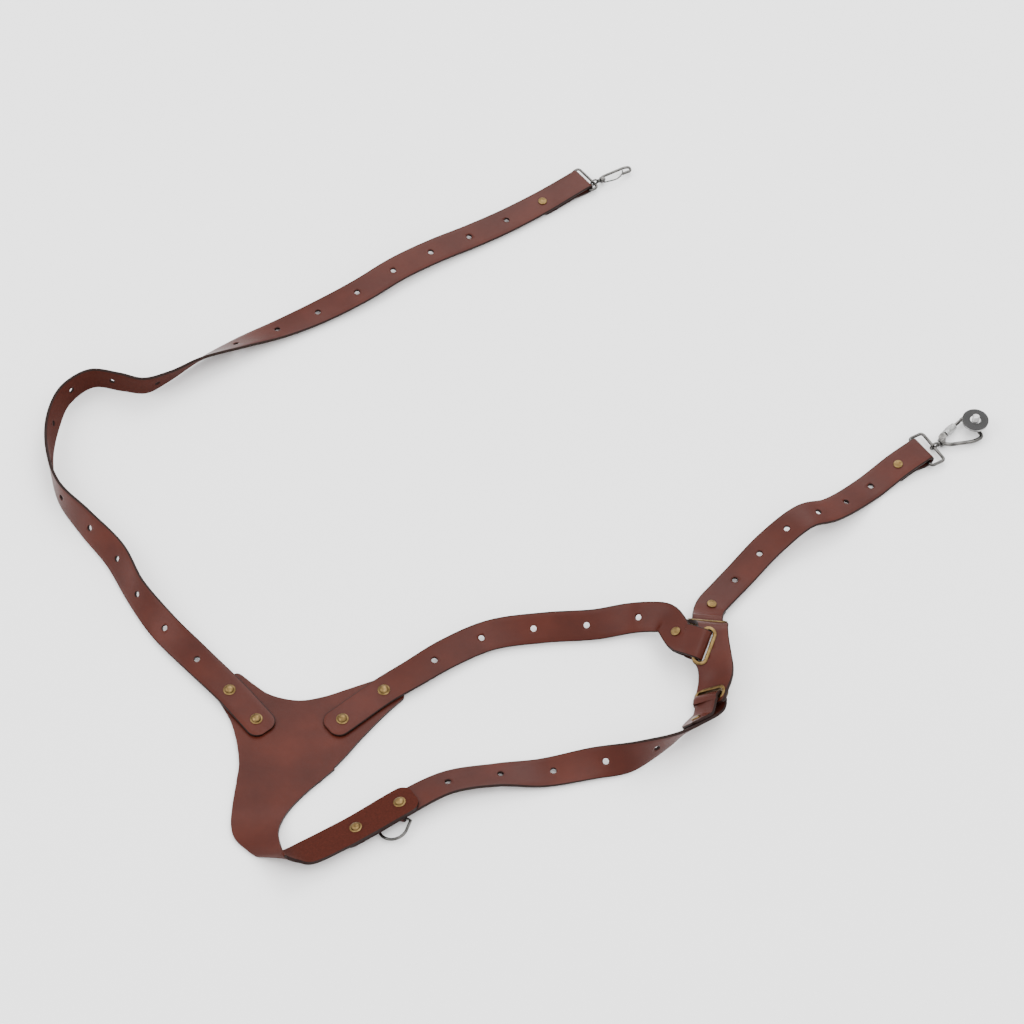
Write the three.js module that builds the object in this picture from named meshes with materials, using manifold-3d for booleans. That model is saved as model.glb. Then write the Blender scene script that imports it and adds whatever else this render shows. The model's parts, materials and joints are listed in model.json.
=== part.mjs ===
// A leather shoulder harness for a camera, laid out on a flat surface, in millimetres, +Z up.
// A Y-shaped yoke carries two straps on its upper arms and one on its long lower arm. The short
// upper strap and the lower strap meet at a connector with three slots and close the loop that goes
// round the shoulder. A fourth strap hangs from the connector and ends in a screw-lock carabiner
// with a camera plate. The long strap ends in a small snap hook, which clips to the ring on the yoke.
import * as THREE from "three";
import { mergeVertices } from "three/addons/utils/BufferGeometryUtils.js";
import Module from "manifold-3d";

const wasm = await Module();
wasm.setup();

// ---------- driving dimensions ----------
const GAP = 0.3; // between pieces that touch
const STRAP_WIDTH = 25;
const STRAP_THICK = 2.5;
const STRAP_CORNER = 9; // radius of a strap's cut corners
const HOLE_DIAMETER = 5;
const SECTION_STEP = 9; // length of leather between two cross sections
const YOKE_THICK = 2.8;
const CONNECTOR_THICK = 3;
const YOKE_LIFT = 1.1; // room under the yoke for the backs of its rivets
const LAYER_GAP = 0.35; // between two layers of leather that are riveted together
const SLOT_LENGTH = 27; // clear opening of an eyelet
const SLOT_WIDTH = 7;
const EYELET_WALL = 0.8;
const EYELET_FLANGE = 3;
const MARGIN_CENTRE = 5.2; // from a slot's middle line to the middle of the leather bar outside it
const MARGIN_EDGE = 8.9; // from a slot's middle line to the leather's edge
const STRAP_TURN = 5.4; // radius of a strap's middle as it turns through a slot
const RIVET_HEAD = 10;
const RIVET_SHANK = 3;
const STUD_HEAD = 8;
const STUD_SHANK = 4.2;
const TAB_WIDTH = 14;
const TAB_THICK = 1.5;
const DEE_WIRE = 2.4;
const DEE_WIDTH = 25;
const DEE_DEPTH = 23;
const SNAP_RING = [29, 8]; // middle lines of the ring's wire
const SNAP_RING_WIRE = 2.4;
const SNAP_WIRE = 2.6;
const SNAP_GATE_WIRE = 1.3;
const STRAP_RING = [33, 14];
const STRAP_RING_WIRE = 2.8;
const CARABINER_WIRE = 3.4;
const GATE_WIRE = 3;
const SLEEVE_DIAMETER = 7;
const PLATE_DIAMETER = 22.5;

// Middle of the whole object's footprint in the layout below, which becomes the origin.
const FOOTPRINT_CENTRE = [5.67, 25.84];
const FLOOR = -0.02; // lowest point of the layout below

// ---------- routes: x, y, z and tilt in degrees, from the yoke outwards ----------
// The tilt turns the leather about its own line. At 0 it lies flat with its left edge to the left
// of travel, at 90 its left edge stands up, and at 180 it lies upside down.
const LONG_STRAP_ROUTE = [
  [-193, -218, 5.5, 0], [-202, -207, 5.5, 0], [-225, -180, 5.5, 0], [-254, -150, 6.2, -8],
  [-282, -121, 8.6, -28], [-307, -88, 11, -50], [-327, -52, 11, -45], [-355, -19, 12, -60],
  [-380, 12, 14, -82], [-392, 51, 15, -94], [-392, 88, 15, -102], [-384, 116, 14, -96],
  [-364, 133, 14, -88], [-338, 129, 14, -88], [-317, 125, 14, -80], [-297, 136, 13, -67],
  [-273, 155, 12, -54], [-239, 177, 8, -30], [-203, 197, 5, -10], [-169, 216, 6, 3],
  [-135, 237, 9, 8], [-102, 263, 10, 10], [-69, 285, 9, 10], [-37, 304, 7, 9],
  [-5, 324, 6, 7], [28, 347, 6, 3], [48, 361.5, 7.2, 0], [64, 373.5, 8, 0],
];
const UPPER_STRAP_ROUTE = [
  [-145, -216, 5.5, 0], [-134, -207, 5.5, 0], [-102, -180, 5.5, 0], [-79, -165, 7.4, 5],
  [-52, -147, 9, 16], [-17, -130, 10, 24], [27, -124, 12, 36], [67, -121, 12, 36],
  [96, -115, 12, 26], [113, -117, 17, 27], [124, -122, 22, 27],
];
const LOWER_STRAP_ROUTE = [
  [-133, -315, 5, -14], [-119, -306.5, 5.2, -14], [-105, -298, 6.7, -13], [-86, -286, 8.2, -12],
  [-50, -266, 8.8, -16], [-11, -258, 7, -16], [24, -255, 5, 2], [64, -248, 8, 24],
  [88, -246, 12, 50], [102, -242, 14, 72], [117, -235, 14, 92], [131, -227, 14, 108],
  [143, -217, 13, 122],
];
const CAMERA_STRAP_ROUTE = [
  [162, -100, 6.9, 0], [173, -86, 6.3, 0], [186, -71, 7, 2], [214, -41, 13, 4],
  [243, -19, 20, 0], [266, -8, 14, -2], [299, 21, 3, 0], [328, 45, 6.4, 0],
  [347, 58, 9.9, 0],
];
const CONNECTOR_ROUTE = [
  [154, -204, 14, -47], [156, -197, 14, -46], [157.5, -190, 14.5, -44], [159, -179, 16.5, -32],
  [159.5, -168, 19.5, -16], [159, -157, 22.5, -7], [158, -147, 26, -5], [157, -138, 28, -4],
  [156.5, -131.5, 27, 0], [157, -126.5, 22, 0], [157.5, -122, 16, 0], [158, -116, 7.5, 0],
];
const YOKE_ARM_ROWS = [
  [-175.5, -248.3, 2.5, 37, -2.2, 0], [-188, -272.2, 2.5, 27.5, -0.2, 0],
  [-194, -286.5, 2.5, 22.5, 0.5, 0], [-196.6, -298.5, 3.5, 19.8, 1.5, 0.9],
  [-196.3, -309.5, 5.2, 17.4, 0.6, 2.8], [-191.1, -321.2, 8.4, 15, -2.5, 6.4],
  [-183.6, -331, 11.8, 11.4, -5.2, 10], [-175.5, -332.4, 12.6, 7.2, -7.8, 11.2],
  [-168, -331.2, 10.3, 6.8, -8.9, 8.6], [-156.1, -327.3, 9, 4.8, -11.6, 4.8],
];
const YOKE_ARM_HALF_ON_STRAP = 13;
// How far the connector reaches to the left and right of its route's points.
const CONNECTOR_LEFT = [15.5, 17, 16, 12.5, 12, 16.5, 17.5, 10, 8, 11.5, 17, 16.5];
const CONNECTOR_RIGHT = [15.5, 17, 17, 17.5, 17, 16, 15.5, 16, 17, 17, 17, 15.5];

// ---------- small helpers ----------
const vec = (a) => new THREE.Vector3(a[0], a[1], a[2]);

function solidOf(geometry) {
  const bare = new THREE.BufferGeometry();
  bare.setAttribute("position", geometry.getAttribute("position").clone());
  if (geometry.index) bare.setIndex(geometry.index.clone());
  const merged = mergeVertices(bare, 1e-4);
  return new wasm.Manifold(
    new wasm.Mesh({
      numProp: 3,
      vertProperties: new Float32Array(merged.attributes.position.array),
      triVerts: new Uint32Array(merged.index.array),
    }),
  );
}

function geometryOf(solid) {
  const mesh = solid.getMesh();
  const geometry = new THREE.BufferGeometry();
  geometry.setAttribute("position", new THREE.BufferAttribute(mesh.vertProperties, 3));
  geometry.setIndex(new THREE.BufferAttribute(mesh.triVerts, 1));
  geometry.computeVertexNormals();
  return geometry;
}

// A frame is a place with three directions: t along the leather, w to its left, n out of its face.
function frameMatrix(frame) {
  return new THREE.Matrix4().makeBasis(frame.t, frame.w, frame.n).setPosition(frame.p);
}

const moved = (geometry, matrix) => geometry.clone().applyMatrix4(matrix);

// ---------- routes and frames ----------
// Centripetal Catmull-Rom through rows of numbers, of which the first three are a place.
function smoothRows(rows, per) {
  const mirror = (a, b) => a.map((x, i) => 2 * x - b[i]);
  const last = rows.length - 1;
  const all = [mirror(rows[0], rows[1]), ...rows, mirror(rows[last], rows[last - 1])];
  const mix = (a, b, ta, tb, t) => a.map((x, i) => ((tb - t) * x + (t - ta) * b[i]) / (tb - ta));
  const apart = (a, b) => Math.sqrt(vec(a).distanceTo(vec(b)));
  const out = [];
  for (let i = 1; i < all.length - 2; i++) {
    const [a, b, c, d] = all.slice(i - 1, i + 3);
    const t1 = apart(a, b);
    const t2 = t1 + apart(b, c);
    const t3 = t2 + apart(c, d);
    for (let k = 0; k < per; k++) {
      const t = t1 + ((t2 - t1) * k) / per;
      const ab = mix(a, b, 0, t1, t);
      const bc = mix(b, c, t1, t2, t);
      const cd = mix(c, d, t2, t3, t);
      out.push(mix(mix(ab, bc, 0, t2, t), mix(bc, cd, t1, t3, t), t1, t2, t));
    }
  }
  out.push(rows[last]);
  return out;
}

// A path knows its length and gives the frame at any distance along it.
function makePath(route) {
  const per = 10;
  const rows = smoothRows(route, per);
  const places = rows.map(vec);
  const along = [0];
  for (let i = 1; i < places.length; i++) {
    along.push(along[i - 1] + places[i].distanceTo(places[i - 1]));
  }
  const knots = route.map((_, i) => along[i * per]);
  const locate = (s) => {
    let i = 0;
    while (i < along.length - 2 && along[i + 1] < s) i++;
    return [i, THREE.MathUtils.clamp((s - along[i]) / (along[i + 1] - along[i]), 0, 1)];
  };
  const tangent = (i) => {
    const a = places[Math.max(i - 1, 0)];
    const b = places[Math.min(i + 1, places.length - 1)];
    return b.clone().sub(a).normalize();
  };
  const at = (s) => {
    const [i, f] = locate(s);
    const p = places[i].clone().lerp(places[i + 1], f);
    const t = tangent(i).lerp(tangent(i + 1), f).normalize();
    const tilt = THREE.MathUtils.degToRad(rows[i][3] + (rows[i + 1][3] - rows[i][3]) * f);
    const side = new THREE.Vector3(0, 0, 1).cross(t).normalize();
    const up = t.clone().cross(side);
    const w = side.clone().multiplyScalar(Math.cos(tilt)).addScaledVector(up, Math.sin(tilt));
    return { p, t, w, n: t.clone().cross(w) };
  };
  return { length: along[along.length - 1], knots, at };
}

// ---------- leather ----------
function section(p, w, n, left, right, thick) {
  const h = thick / 2;
  const corner = (across, out) => p.clone().addScaledVector(w, across).addScaledVector(n, out);
  return [corner(left, h), corner(left, -h), corner(-right, -h), corner(-right, h)];
}

// A closed solid through a row of four-cornered cross sections.
function sweepSections(sections) {
  const positions = [];
  sections.forEach((corners) => corners.forEach((c) => positions.push(c.x, c.y, c.z)));
  const index = [];
  for (let i = 0; i < sections.length - 1; i++) {
    for (let k = 0; k < 4; k++) {
      const a = i * 4 + k;
      const b = i * 4 + ((k + 1) % 4);
      index.push(a, a + 4, b, b, a + 4, b + 4);
    }
  }
  const end = (sections.length - 1) * 4;
  index.push(0, 1, 2, 0, 2, 3, end, end + 2, end + 1, end, end + 3, end + 2);
  const geometry = new THREE.BufferGeometry();
  geometry.setAttribute("position", new THREE.Float32BufferAttribute(positions, 3));
  geometry.setIndex(index);
  return solidOf(geometry);
}

// Half width of a strap at distance d from its cut end, whose corners are round.
function halfAt(d, half, corner) {
  if (d >= corner) return half;
  return half - corner + Math.sqrt(corner ** 2 - (corner - Math.max(d, 0)) ** 2);
}

const cutEnd = (half) => [0, 1.2, 3.6, STRAP_CORNER].map((d) => [d, halfAt(d, half, STRAP_CORNER)]);

// A band of leather: its width and thickness, with a fold or a cut at each end of its path.
const STRAP_BAND = { half: STRAP_WIDTH / 2, thick: STRAP_THICK, corner: STRAP_CORNER };
const TAB_BAND = { half: TAB_WIDTH / 2, thick: TAB_THICK, corner: 3 };

// The band's end turns round a bar and comes back under itself. direction is 1 at the far end of
// the path and -1 at its start. The two layers close between from and to, counted from the bar.
function foldedTail(path, direction, band, fold) {
  const { half, thick } = band;
  const { turn, from, to, tail } = fold;
  const start = direction > 0 ? path.length : 0;
  const f = path.at(start);
  const bar = f.p.clone().addScaledVector(f.n, -turn);
  const out = [];
  const steps = 6;
  for (let k = 1; k <= steps; k++) {
    const angle = (Math.PI * k) / steps;
    const n = f.n.clone().multiplyScalar(Math.cos(angle));
    n.addScaledVector(f.t, direction * Math.sin(angle));
    out.push(section(bar.clone().addScaledVector(n, turn), f.w, n, half, half, thick));
  }
  const stations = [from, from + (to - from) / 3, from + (2 * (to - from)) / 3, to];
  [0.4, 0.8, 1].forEach((k) => stations.push(to + (tail - to) * k));
  stations.forEach((d) => {
    const g = path.at(start - direction * d);
    const part = THREE.MathUtils.smoothstep(d, from, to);
    const apart = 2 * turn + (thick + GAP - 2 * turn) * part;
    const p = g.p.clone().addScaledVector(g.n, -apart);
    const h = halfAt(tail - d, half, band.corner / 2);
    out.push(section(p, g.w, g.n.clone().negate(), h, h, thick));
  });
  return out;
}

// A strap or tab, with round holes at the given distances along its path.
function makeBand(path, band, folds, holes) {
  const { half, thick, corner } = band;
  const L = path.length;
  const stations = new Map();
  const count = Math.ceil(L / SECTION_STEP);
  for (let k = 0; k <= count; k++) stations.set((L * k) / count, half);
  if (!folds.start) {
    stations.delete(0);
    [0, corner / 8, corner / 2.5, corner].forEach((d) => {
      stations.set(d, Math.max(halfAt(d, half, corner), half - 0.8 * corner));
    });
  }
  const sections = [...stations].sort((a, b) => a[0] - b[0]).map(([s, h]) => {
    const f = path.at(s);
    return section(f.p, f.w, f.n, h, h, thick);
  });
  if (folds.end) sections.push(...foldedTail(path, 1, band, folds.end));
  if (folds.start) sections.unshift(...foldedTail(path, -1, band, folds.start).reverse());
  return bored(sweepSections(sections), holes.map(path.at), HOLE_DIAMETER, 9);
}

// A round bore along a frame's n, as a cutter.
function boreAt(frame, diameter, length) {
  const bore = new THREE.CylinderGeometry(diameter / 2, diameter / 2, length, 8);
  bore.rotateX(Math.PI / 2);
  return moved(bore, frameMatrix(frame));
}

function bored(solid, frames, diameter, length) {
  return frames.reduce((s, f) => s.subtract(solidOf(boreAt(f, diameter, length))), solid);
}

const offsetFrame = (f, along, across, out) => ({
  ...f,
  p: f.p.clone().addScaledVector(f.t, along).addScaledVector(f.w, across).addScaledVector(f.n, out),
});

// The row of a route that puts a band at a frame: its place and its tilt.
function rowOf(frame) {
  const side = new THREE.Vector3(0, 0, 1).cross(frame.t).normalize();
  const up = frame.t.clone().cross(side);
  const tilt = Math.atan2(frame.w.dot(up), frame.w.dot(side));
  return [frame.p.x, frame.p.y, frame.p.z, THREE.MathUtils.radToDeg(tilt)];
}

// A frame from a place, a direction along and a direction that is roughly out of the face.
function frameFrom(place, along, out) {
  const t = vec(along).normalize();
  const w = vec(out).cross(t).normalize();
  return { p: vec(place), t, w, n: t.clone().cross(w) };
}

// ---------- turned and bent metal ----------
function lathe(profile, sides) {
  const points = profile.map(([r, z]) => new THREE.Vector2(r, z));
  return new THREE.LatheGeometry(points, sides).rotateX(Math.PI / 2);
}

// Round wire along a line of places. closed joins its end to its start.
function wire(places, diameter, sides, closed) {
  const points = places.map(vec);
  const count = points.length;
  const near = (i) => points[closed ? (i + count) % count : THREE.MathUtils.clamp(i, 0, count - 1)];
  const positions = [];
  const index = [];
  let side = null;
  points.forEach((p, i) => {
    const t = near(i + 1).clone().sub(near(i - 1)).normalize();
    const hint = side || (Math.abs(t.z) < 0.9 ? new THREE.Vector3(0, 0, 1) : new THREE.Vector3(1, 0, 0));
    side = hint.clone().addScaledVector(t, -hint.dot(t)).normalize();
    const other = t.clone().cross(side);
    for (let k = 0; k < sides; k++) {
      const a = (2 * Math.PI * (k + 0.5)) / sides;
      const q = p.clone().addScaledVector(side, (diameter / 2) * Math.cos(a));
      q.addScaledVector(other, (diameter / 2) * Math.sin(a));
      positions.push(q.x, q.y, q.z);
    }
  });
  const rings = closed ? count : count - 1;
  for (let i = 0; i < rings; i++) {
    for (let k = 0; k < sides; k++) {
      const a = i * sides + k;
      const b = i * sides + ((k + 1) % sides);
      const c = ((i + 1) % count) * sides + k;
      const d = ((i + 1) % count) * sides + ((k + 1) % sides);
      index.push(a, b, c, b, d, c);
    }
  }
  if (!closed) {
    const e = (count - 1) * sides;
    for (let k = 1; k < sides - 1; k++) index.push(0, k + 1, k, e, e + k, e + k + 1);
  }
  const geometry = new THREE.BufferGeometry();
  geometry.setAttribute("position", new THREE.Float32BufferAttribute(positions, 3));
  geometry.setIndex(index);
  return solidOf(geometry);
}

// Corner points of a flat line, each rounded by a short arc of the given radius.
function roundedLine(corners, radius, closed, arcSteps = 3) {
  const out = [];
  const count = corners.length;
  corners.forEach((c, i) => {
    if (!closed && (i === 0 || i === count - 1)) {
      out.push([...c, 0]);
      return;
    }
    const here = new THREE.Vector2(...c);
    const back = new THREE.Vector2(...corners[(i + count - 1) % count]).sub(here);
    const ahead = new THREE.Vector2(...corners[(i + 1) % count]).sub(here);
    const reach = Math.min(radius, back.length() * 0.45, ahead.length() * 0.45);
    const a = here.clone().addScaledVector(back.normalize(), reach);
    const b = here.clone().addScaledVector(ahead.normalize(), reach);
    for (let k = 0; k <= arcSteps; k++) {
      const f = k / arcSteps;
      const p = a.clone().lerp(here, f).lerp(here.clone().lerp(b, f), f);
      out.push([p.x, p.y, 0]);
    }
  });
  return out;
}

function slotShape(length, width) {
  const r = width / 2;
  const half = length / 2 - r;
  const shape = new THREE.Shape();
  shape.moveTo(-half, -r);
  shape.lineTo(half, -r);
  shape.absarc(half, 0, r, -Math.PI / 2, Math.PI / 2, false);
  shape.lineTo(-half, r);
  shape.absarc(-half, 0, r, Math.PI / 2, (3 * Math.PI) / 2, false);
  return shape;
}

function slotRing(length, width, wall, from, to) {
  const shape = slotShape(length + 2 * wall, width + 2 * wall);
  shape.holes.push(slotShape(length, width));
  const ring = new THREE.ExtrudeGeometry(shape, {
    depth: to - from,
    bevelEnabled: false,
    curveSegments: 4,
  });
  return ring.translate(0, 0, from);
}

function slotBlock(length, width, from, to) {
  const block = new THREE.ExtrudeGeometry(slotShape(length, width), {
    depth: to - from,
    bevelEnabled: false,
    curveSegments: 4,
  });
  return block.translate(0, 0, from);
}

// ---------- slots of the connector, and the paths that end at them ----------
const connectorPath = makePath(CONNECTOR_ROUTE);

// A slot's frame has t across the slot towards the strap that it holds, and w along the slot.
function slotFrame(distance, across, turn, side) {
  const f = connectorPath.at(distance);
  const a = THREE.MathUtils.degToRad(turn);
  const t = f.t.clone().multiplyScalar(Math.cos(a)).addScaledVector(f.w, Math.sin(a));
  const w = f.n.clone().cross(t);
  const p = f.p.clone().addScaledVector(f.w, across);
  return { p, t: t.multiplyScalar(side), w: w.multiplyScalar(side), n: f.n };
}

const SLOTS = {
  upper: slotFrame(connectorPath.knots[6] - 3, 5, 63, 1),
  lower: slotFrame(connectorPath.knots[2], 0, 0, -1),
  camera: slotFrame(connectorPath.knots[10], 0, 0, 1),
};

// Where a strap lies over or under the leather bar beside a slot. face is 1 on the connector's
// front and -1 on its back, heading is -1 towards the slot and 1 away from it, and height is
// counted from the middle of the connector's leather.
function besideSlot(slot, face, heading, beyond, height = STRAP_TURN) {
  const f = offsetFrame(slot, MARGIN_CENTRE + beyond, 0, face * height);
  const t = slot.t.clone().multiplyScalar(heading);
  const n = slot.n.clone().multiplyScalar(face);
  return rowOf({ p: f.p, t, n, w: n.clone().cross(t) });
}

const longPath = makePath(LONG_STRAP_ROUTE);
const upperPath = makePath([
  ...UPPER_STRAP_ROUTE,
  besideSlot(SLOTS.upper, 1, -1, 15, 1.6),
  besideSlot(SLOTS.upper, 1, -1, 10, 3.4),
  besideSlot(SLOTS.upper, 1, -1, 5, 4.6),
  besideSlot(SLOTS.upper, 1, -1, 0),
]);
const lowerPath = makePath([
  ...LOWER_STRAP_ROUTE,
  besideSlot(SLOTS.lower, -1, -1, 5),
  besideSlot(SLOTS.lower, -1, -1, 0),
]);
const cameraPath = makePath([
  besideSlot(SLOTS.camera, 1, 1, 0),
  besideSlot(SLOTS.camera, 1, 1, 4),
  ...CAMERA_STRAP_ROUTE,
]);

// The last part of the yoke's arm lies on the lower strap, face to face with it.
function onLowerStrap(distance) {
  const f = offsetFrame(lowerPath.at(distance), 0, 0, (STRAP_THICK + YOKE_THICK) / 2 + LAYER_GAP);
  const reach = f.w.clone().multiplyScalar(-YOKE_ARM_HALF_ON_STRAP);
  return [...f.p.toArray(), ...reach.toArray()];
}

const armRows = smoothRows([
  ...YOKE_ARM_ROWS,
  ...[-14, -4, 6, 16, 26, 36, 44, 47, 50, 51.4, 52].map((s) => onLowerStrap(lowerPath.knots[1] + s)),
], 3);

// ---------- fastening places, as distances along the paths ----------
const LONG_RIVETS = [longPath.knots[1], longPath.knots[2]];
const UPPER_RIVETS = [upperPath.knots[1], upperPath.knots[2]];
const LOWER_RIVETS = [lowerPath.knots[1], lowerPath.knots[3]];
const LONG_STUD = longPath.knots[25];
const UPPER_STUD = upperPath.length - 22;
const LOWER_STUD = lowerPath.length - 24;
const CAMERA_STUD = cameraPath.length - 24;
const CAMERA_START_STUD = 19;

function holesBetween(from, to, count) {
  const out = [];
  for (let k = 1; k <= count; k++) out.push(from + ((to - from) * k) / (count + 1));
  return out;
}

const LONG_HOLES = holesBetween(LONG_RIVETS[1], LONG_STUD, 20);
const UPPER_HOLES = holesBetween(UPPER_RIVETS[1] + 5, UPPER_STUD, 5);
const LOWER_HOLES = holesBetween(LOWER_RIVETS[1], LOWER_STUD, 5);
const CAMERA_HOLES = holesBetween(CAMERA_START_STUD, CAMERA_STUD, 6);

// ---------- materials ----------
const leather = () => new THREE.MeshStandardMaterial({ color: 0x6e3a2c, roughness: 0.55 });
const brass = () =>
  new THREE.MeshStandardMaterial({ color: 0x9c7b45, roughness: 0.35, metalness: 1 });
const gunmetal = () =>
  new THREE.MeshStandardMaterial({ color: 0x45454a, roughness: 0.25, metalness: 1 });
const steel = () =>
  new THREE.MeshStandardMaterial({ color: 0xb9b9bb, roughness: 0.3, metalness: 1 });
const rubber = () => new THREE.MeshStandardMaterial({ color: 0x161616, roughness: 0.8 });

const harness = new THREE.Group();
const layout = new THREE.Group();
layout.position.set(-FOOTPRINT_CENTRE[0], -FOOTPRINT_CENTRE[1], -FLOOR);
harness.add(layout);

function add(parent, name, shape, material) {
  const geometry = shape.isBufferGeometry ? shape : geometryOf(shape);
  const mesh = new THREE.Mesh(geometry, material);
  mesh.name = name;
  parent.add(mesh);
  return mesh;
}

// A group whose x, y and z lie along a frame's t, w and n.
function groupAt(frame) {
  const group = new THREE.Group();
  group.applyMatrix4(frameMatrix(frame));
  layout.add(group);
  return group;
}

// ---------- straps ----------
const turnRound = (bar, thick, room) => bar / 2 + room + thick / 2;
const rivetBore = RIVET_SHANK + 2 * GAP;
const studBore = STUD_SHANK + 2 * GAP;

function addStrap(name, path, folds, holes, rivets, studs) {
  let strap = makeBand(path, STRAP_BAND, folds, holes);
  strap = bored(strap, rivets.map(path.at), rivetBore, 9);
  strap = bored(strap, studs.map(path.at), studBore, 13);
  add(layout, name, strap, leather());
}

const snapTurn = turnRound(SNAP_RING_WIRE, STRAP_THICK, 0.5);
const ringTurn = turnRound(STRAP_RING_WIRE, STRAP_THICK, 1.4);
const longFold = { end: { turn: snapTurn, from: 1, to: 20, tail: 51 } };
const upperFold = { end: { turn: STRAP_TURN, from: 5, to: 17, tail: 32 } };
const lowerFold = { end: { turn: STRAP_TURN, from: 5.5, to: 18, tail: 34 } };
const cameraFold = {
  start: { turn: STRAP_TURN, from: 4.5, to: 14, tail: 26 },
  end: { turn: ringTurn, from: 1.5, to: 17, tail: 34 },
};
addStrap("long_strap", longPath, longFold, LONG_HOLES, LONG_RIVETS, [LONG_STUD]);
addStrap("upper_shoulder_strap", upperPath, upperFold, UPPER_HOLES, UPPER_RIVETS, [UPPER_STUD]);
addStrap("lower_shoulder_strap", lowerPath, lowerFold, LOWER_HOLES, LOWER_RIVETS, [LOWER_STUD]);
const cameraStuds = [CAMERA_START_STUD, CAMERA_STUD];
addStrap("camera_strap", cameraPath, cameraFold, CAMERA_HOLES, [], cameraStuds);

// ---------- yoke ----------
// The flat part of the Y, in the layout's own XY plane.
function yokePlate() {
  const shape = new THREE.Shape();
  const spline = (points) => shape.splineThru(points.map(([x, y]) => new THREE.Vector2(x, y)));
  shape.moveTo(-214.7, -262);
  spline([[-213.6, -247], [-217, -225], [-223, -206], [-232.8, -188.5]]);
  shape.lineTo(-237, -183.5);
  shape.quadraticCurveTo(-240.5, -179, -236, -175.2);
  shape.lineTo(-224.5, -164.5);
  shape.quadraticCurveTo(-220.5, -160.8, -216.5, -164);
  spline([[-205.3, -173.7], [-192.8, -182.5], [-170, -188], [-150, -184.5], [-133.2, -178.2]]);
  shape.lineTo(-106, -167.5);
  shape.quadraticCurveTo(-99, -163, -95.5, -167.5);
  shape.lineTo(-86.5, -181);
  shape.quadraticCurveTo(-84.5, -185, -88.5, -188);
  spline([[-99, -199], [-110.6, -212.8], [-121, -226], [-130.9, -239.5], [-149.8, -262]]);
  shape.closePath();
  const plate = new THREE.ExtrudeGeometry(shape, {
    depth: YOKE_THICK,
    bevelEnabled: false,
    curveSegments: 3,
  });
  return plate.translate(0, 0, YOKE_LIFT);
}

// The value at distance s from a list that has one value for each knot.
function between(knots, values, s) {
  const k = knots.findIndex((knot) => knot >= s - 1e-6);
  if (k < 0) return values[values.length - 1];
  if (k === 0) return values[0];
  const f = (s - knots[k - 1]) / (knots[k] - knots[k - 1]);
  return values[k - 1] + (values[k] - values[k - 1]) * f;
}

function yokeArm() {
  const places = armRows.map(vec);
  const last = places.length - 1;
  const toEnd = places.map(() => 0);
  for (let k = last - 1; k >= 0; k--) toEnd[k] = toEnd[k + 1] + places[k].distanceTo(places[k + 1]);
  const sections = places.map((p, k) => {
    const along = places[Math.min(k + 1, last)].clone().sub(places[Math.max(k - 1, 0)]);
    const reach = vec(armRows[k].slice(3));
    const w = reach.clone().normalize();
    const n = along.cross(w).normalize();
    const h = Math.min(reach.length(), halfAt(toEnd[k], reach.length(), STRAP_CORNER));
    return section(p, w, n, h, h, YOKE_THICK);
  });
  return sweepSections(sections);
}

const rivetFrames = [
  ...LONG_RIVETS.map(longPath.at),
  ...UPPER_RIVETS.map(upperPath.at),
  ...LOWER_RIVETS.map(lowerPath.at),
];
const yoke = solidOf(yokePlate()).add(yokeArm());
add(layout, "yoke", bored(yoke, rivetFrames, rivetBore, 16), leather());

// ---------- connector and its three eyelets ----------
function connectorPlate() {
  const { knots } = connectorPath;
  const from = knots[2] - MARGIN_EDGE;
  const to = knots[10] + MARGIN_EDGE;
  const count = 26;
  const sections = [];
  for (let k = 0; k <= count; k++) {
    const s = from + ((to - from) * k) / count;
    const f = connectorPath.at(s);
    const end = halfAt(Math.min(s - from, to - s), 0, 3);
    const left = between(knots, CONNECTOR_LEFT, s) + end;
    const right = between(knots, CONNECTOR_RIGHT, s) + end;
    sections.push(section(f.p, f.w, f.n, left, right, CONNECTOR_THICK));
  }
  return sweepSections(sections);
}

const EYELET_REACH = CONNECTOR_THICK / 2 + GAP;
let connector = connectorPlate();
Object.entries(SLOTS).forEach(([name, frame]) => {
  const turn = new THREE.Matrix4().makeRotationZ(Math.PI / 2);
  const matrix = frameMatrix(frame).multiply(turn);
  const grown = 2 * (EYELET_WALL + GAP);
  const opening = slotBlock(SLOT_LENGTH + grown, SLOT_WIDTH + grown, -9, 9);
  connector = connector.subtract(solidOf(moved(opening, matrix)));
  // The leather is pressed flat under the eyelet's flange and under its back washer.
  const flange = 2 * (EYELET_FLANGE + GAP);
  [[EYELET_REACH - GAP, 6], [-6, -EYELET_REACH + GAP]].forEach(([from, to]) => {
    const seat = slotBlock(SLOT_LENGTH + flange, SLOT_WIDTH + flange, from, to);
    connector = connector.subtract(solidOf(moved(seat, matrix)));
  });
  const wall = slotRing(SLOT_LENGTH, SLOT_WIDTH, EYELET_WALL, -EYELET_REACH - 0.7, EYELET_REACH + 0.8);
  const rim = slotRing(SLOT_LENGTH, SLOT_WIDTH, EYELET_FLANGE, EYELET_REACH, EYELET_REACH + 0.8);
  const eyelet = solidOf(wall).add(solidOf(rim));
  const group = groupAt(frame);
  add(group, `${name}_slot_eyelet`, geometryOf(eyelet).rotateZ(Math.PI / 2), brass());
  const washer = slotRing(
    SLOT_LENGTH + 2 * (EYELET_WALL + GAP),
    SLOT_WIDTH + 2 * (EYELET_WALL + GAP),
    EYELET_FLANGE - EYELET_WALL - GAP,
    -EYELET_REACH - 0.7,
    -EYELET_REACH,
  );
  add(group, `${name}_slot_washer`, washer.rotateZ(Math.PI / 2), brass());
});
add(layout, "connector", connector, leather());


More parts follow.
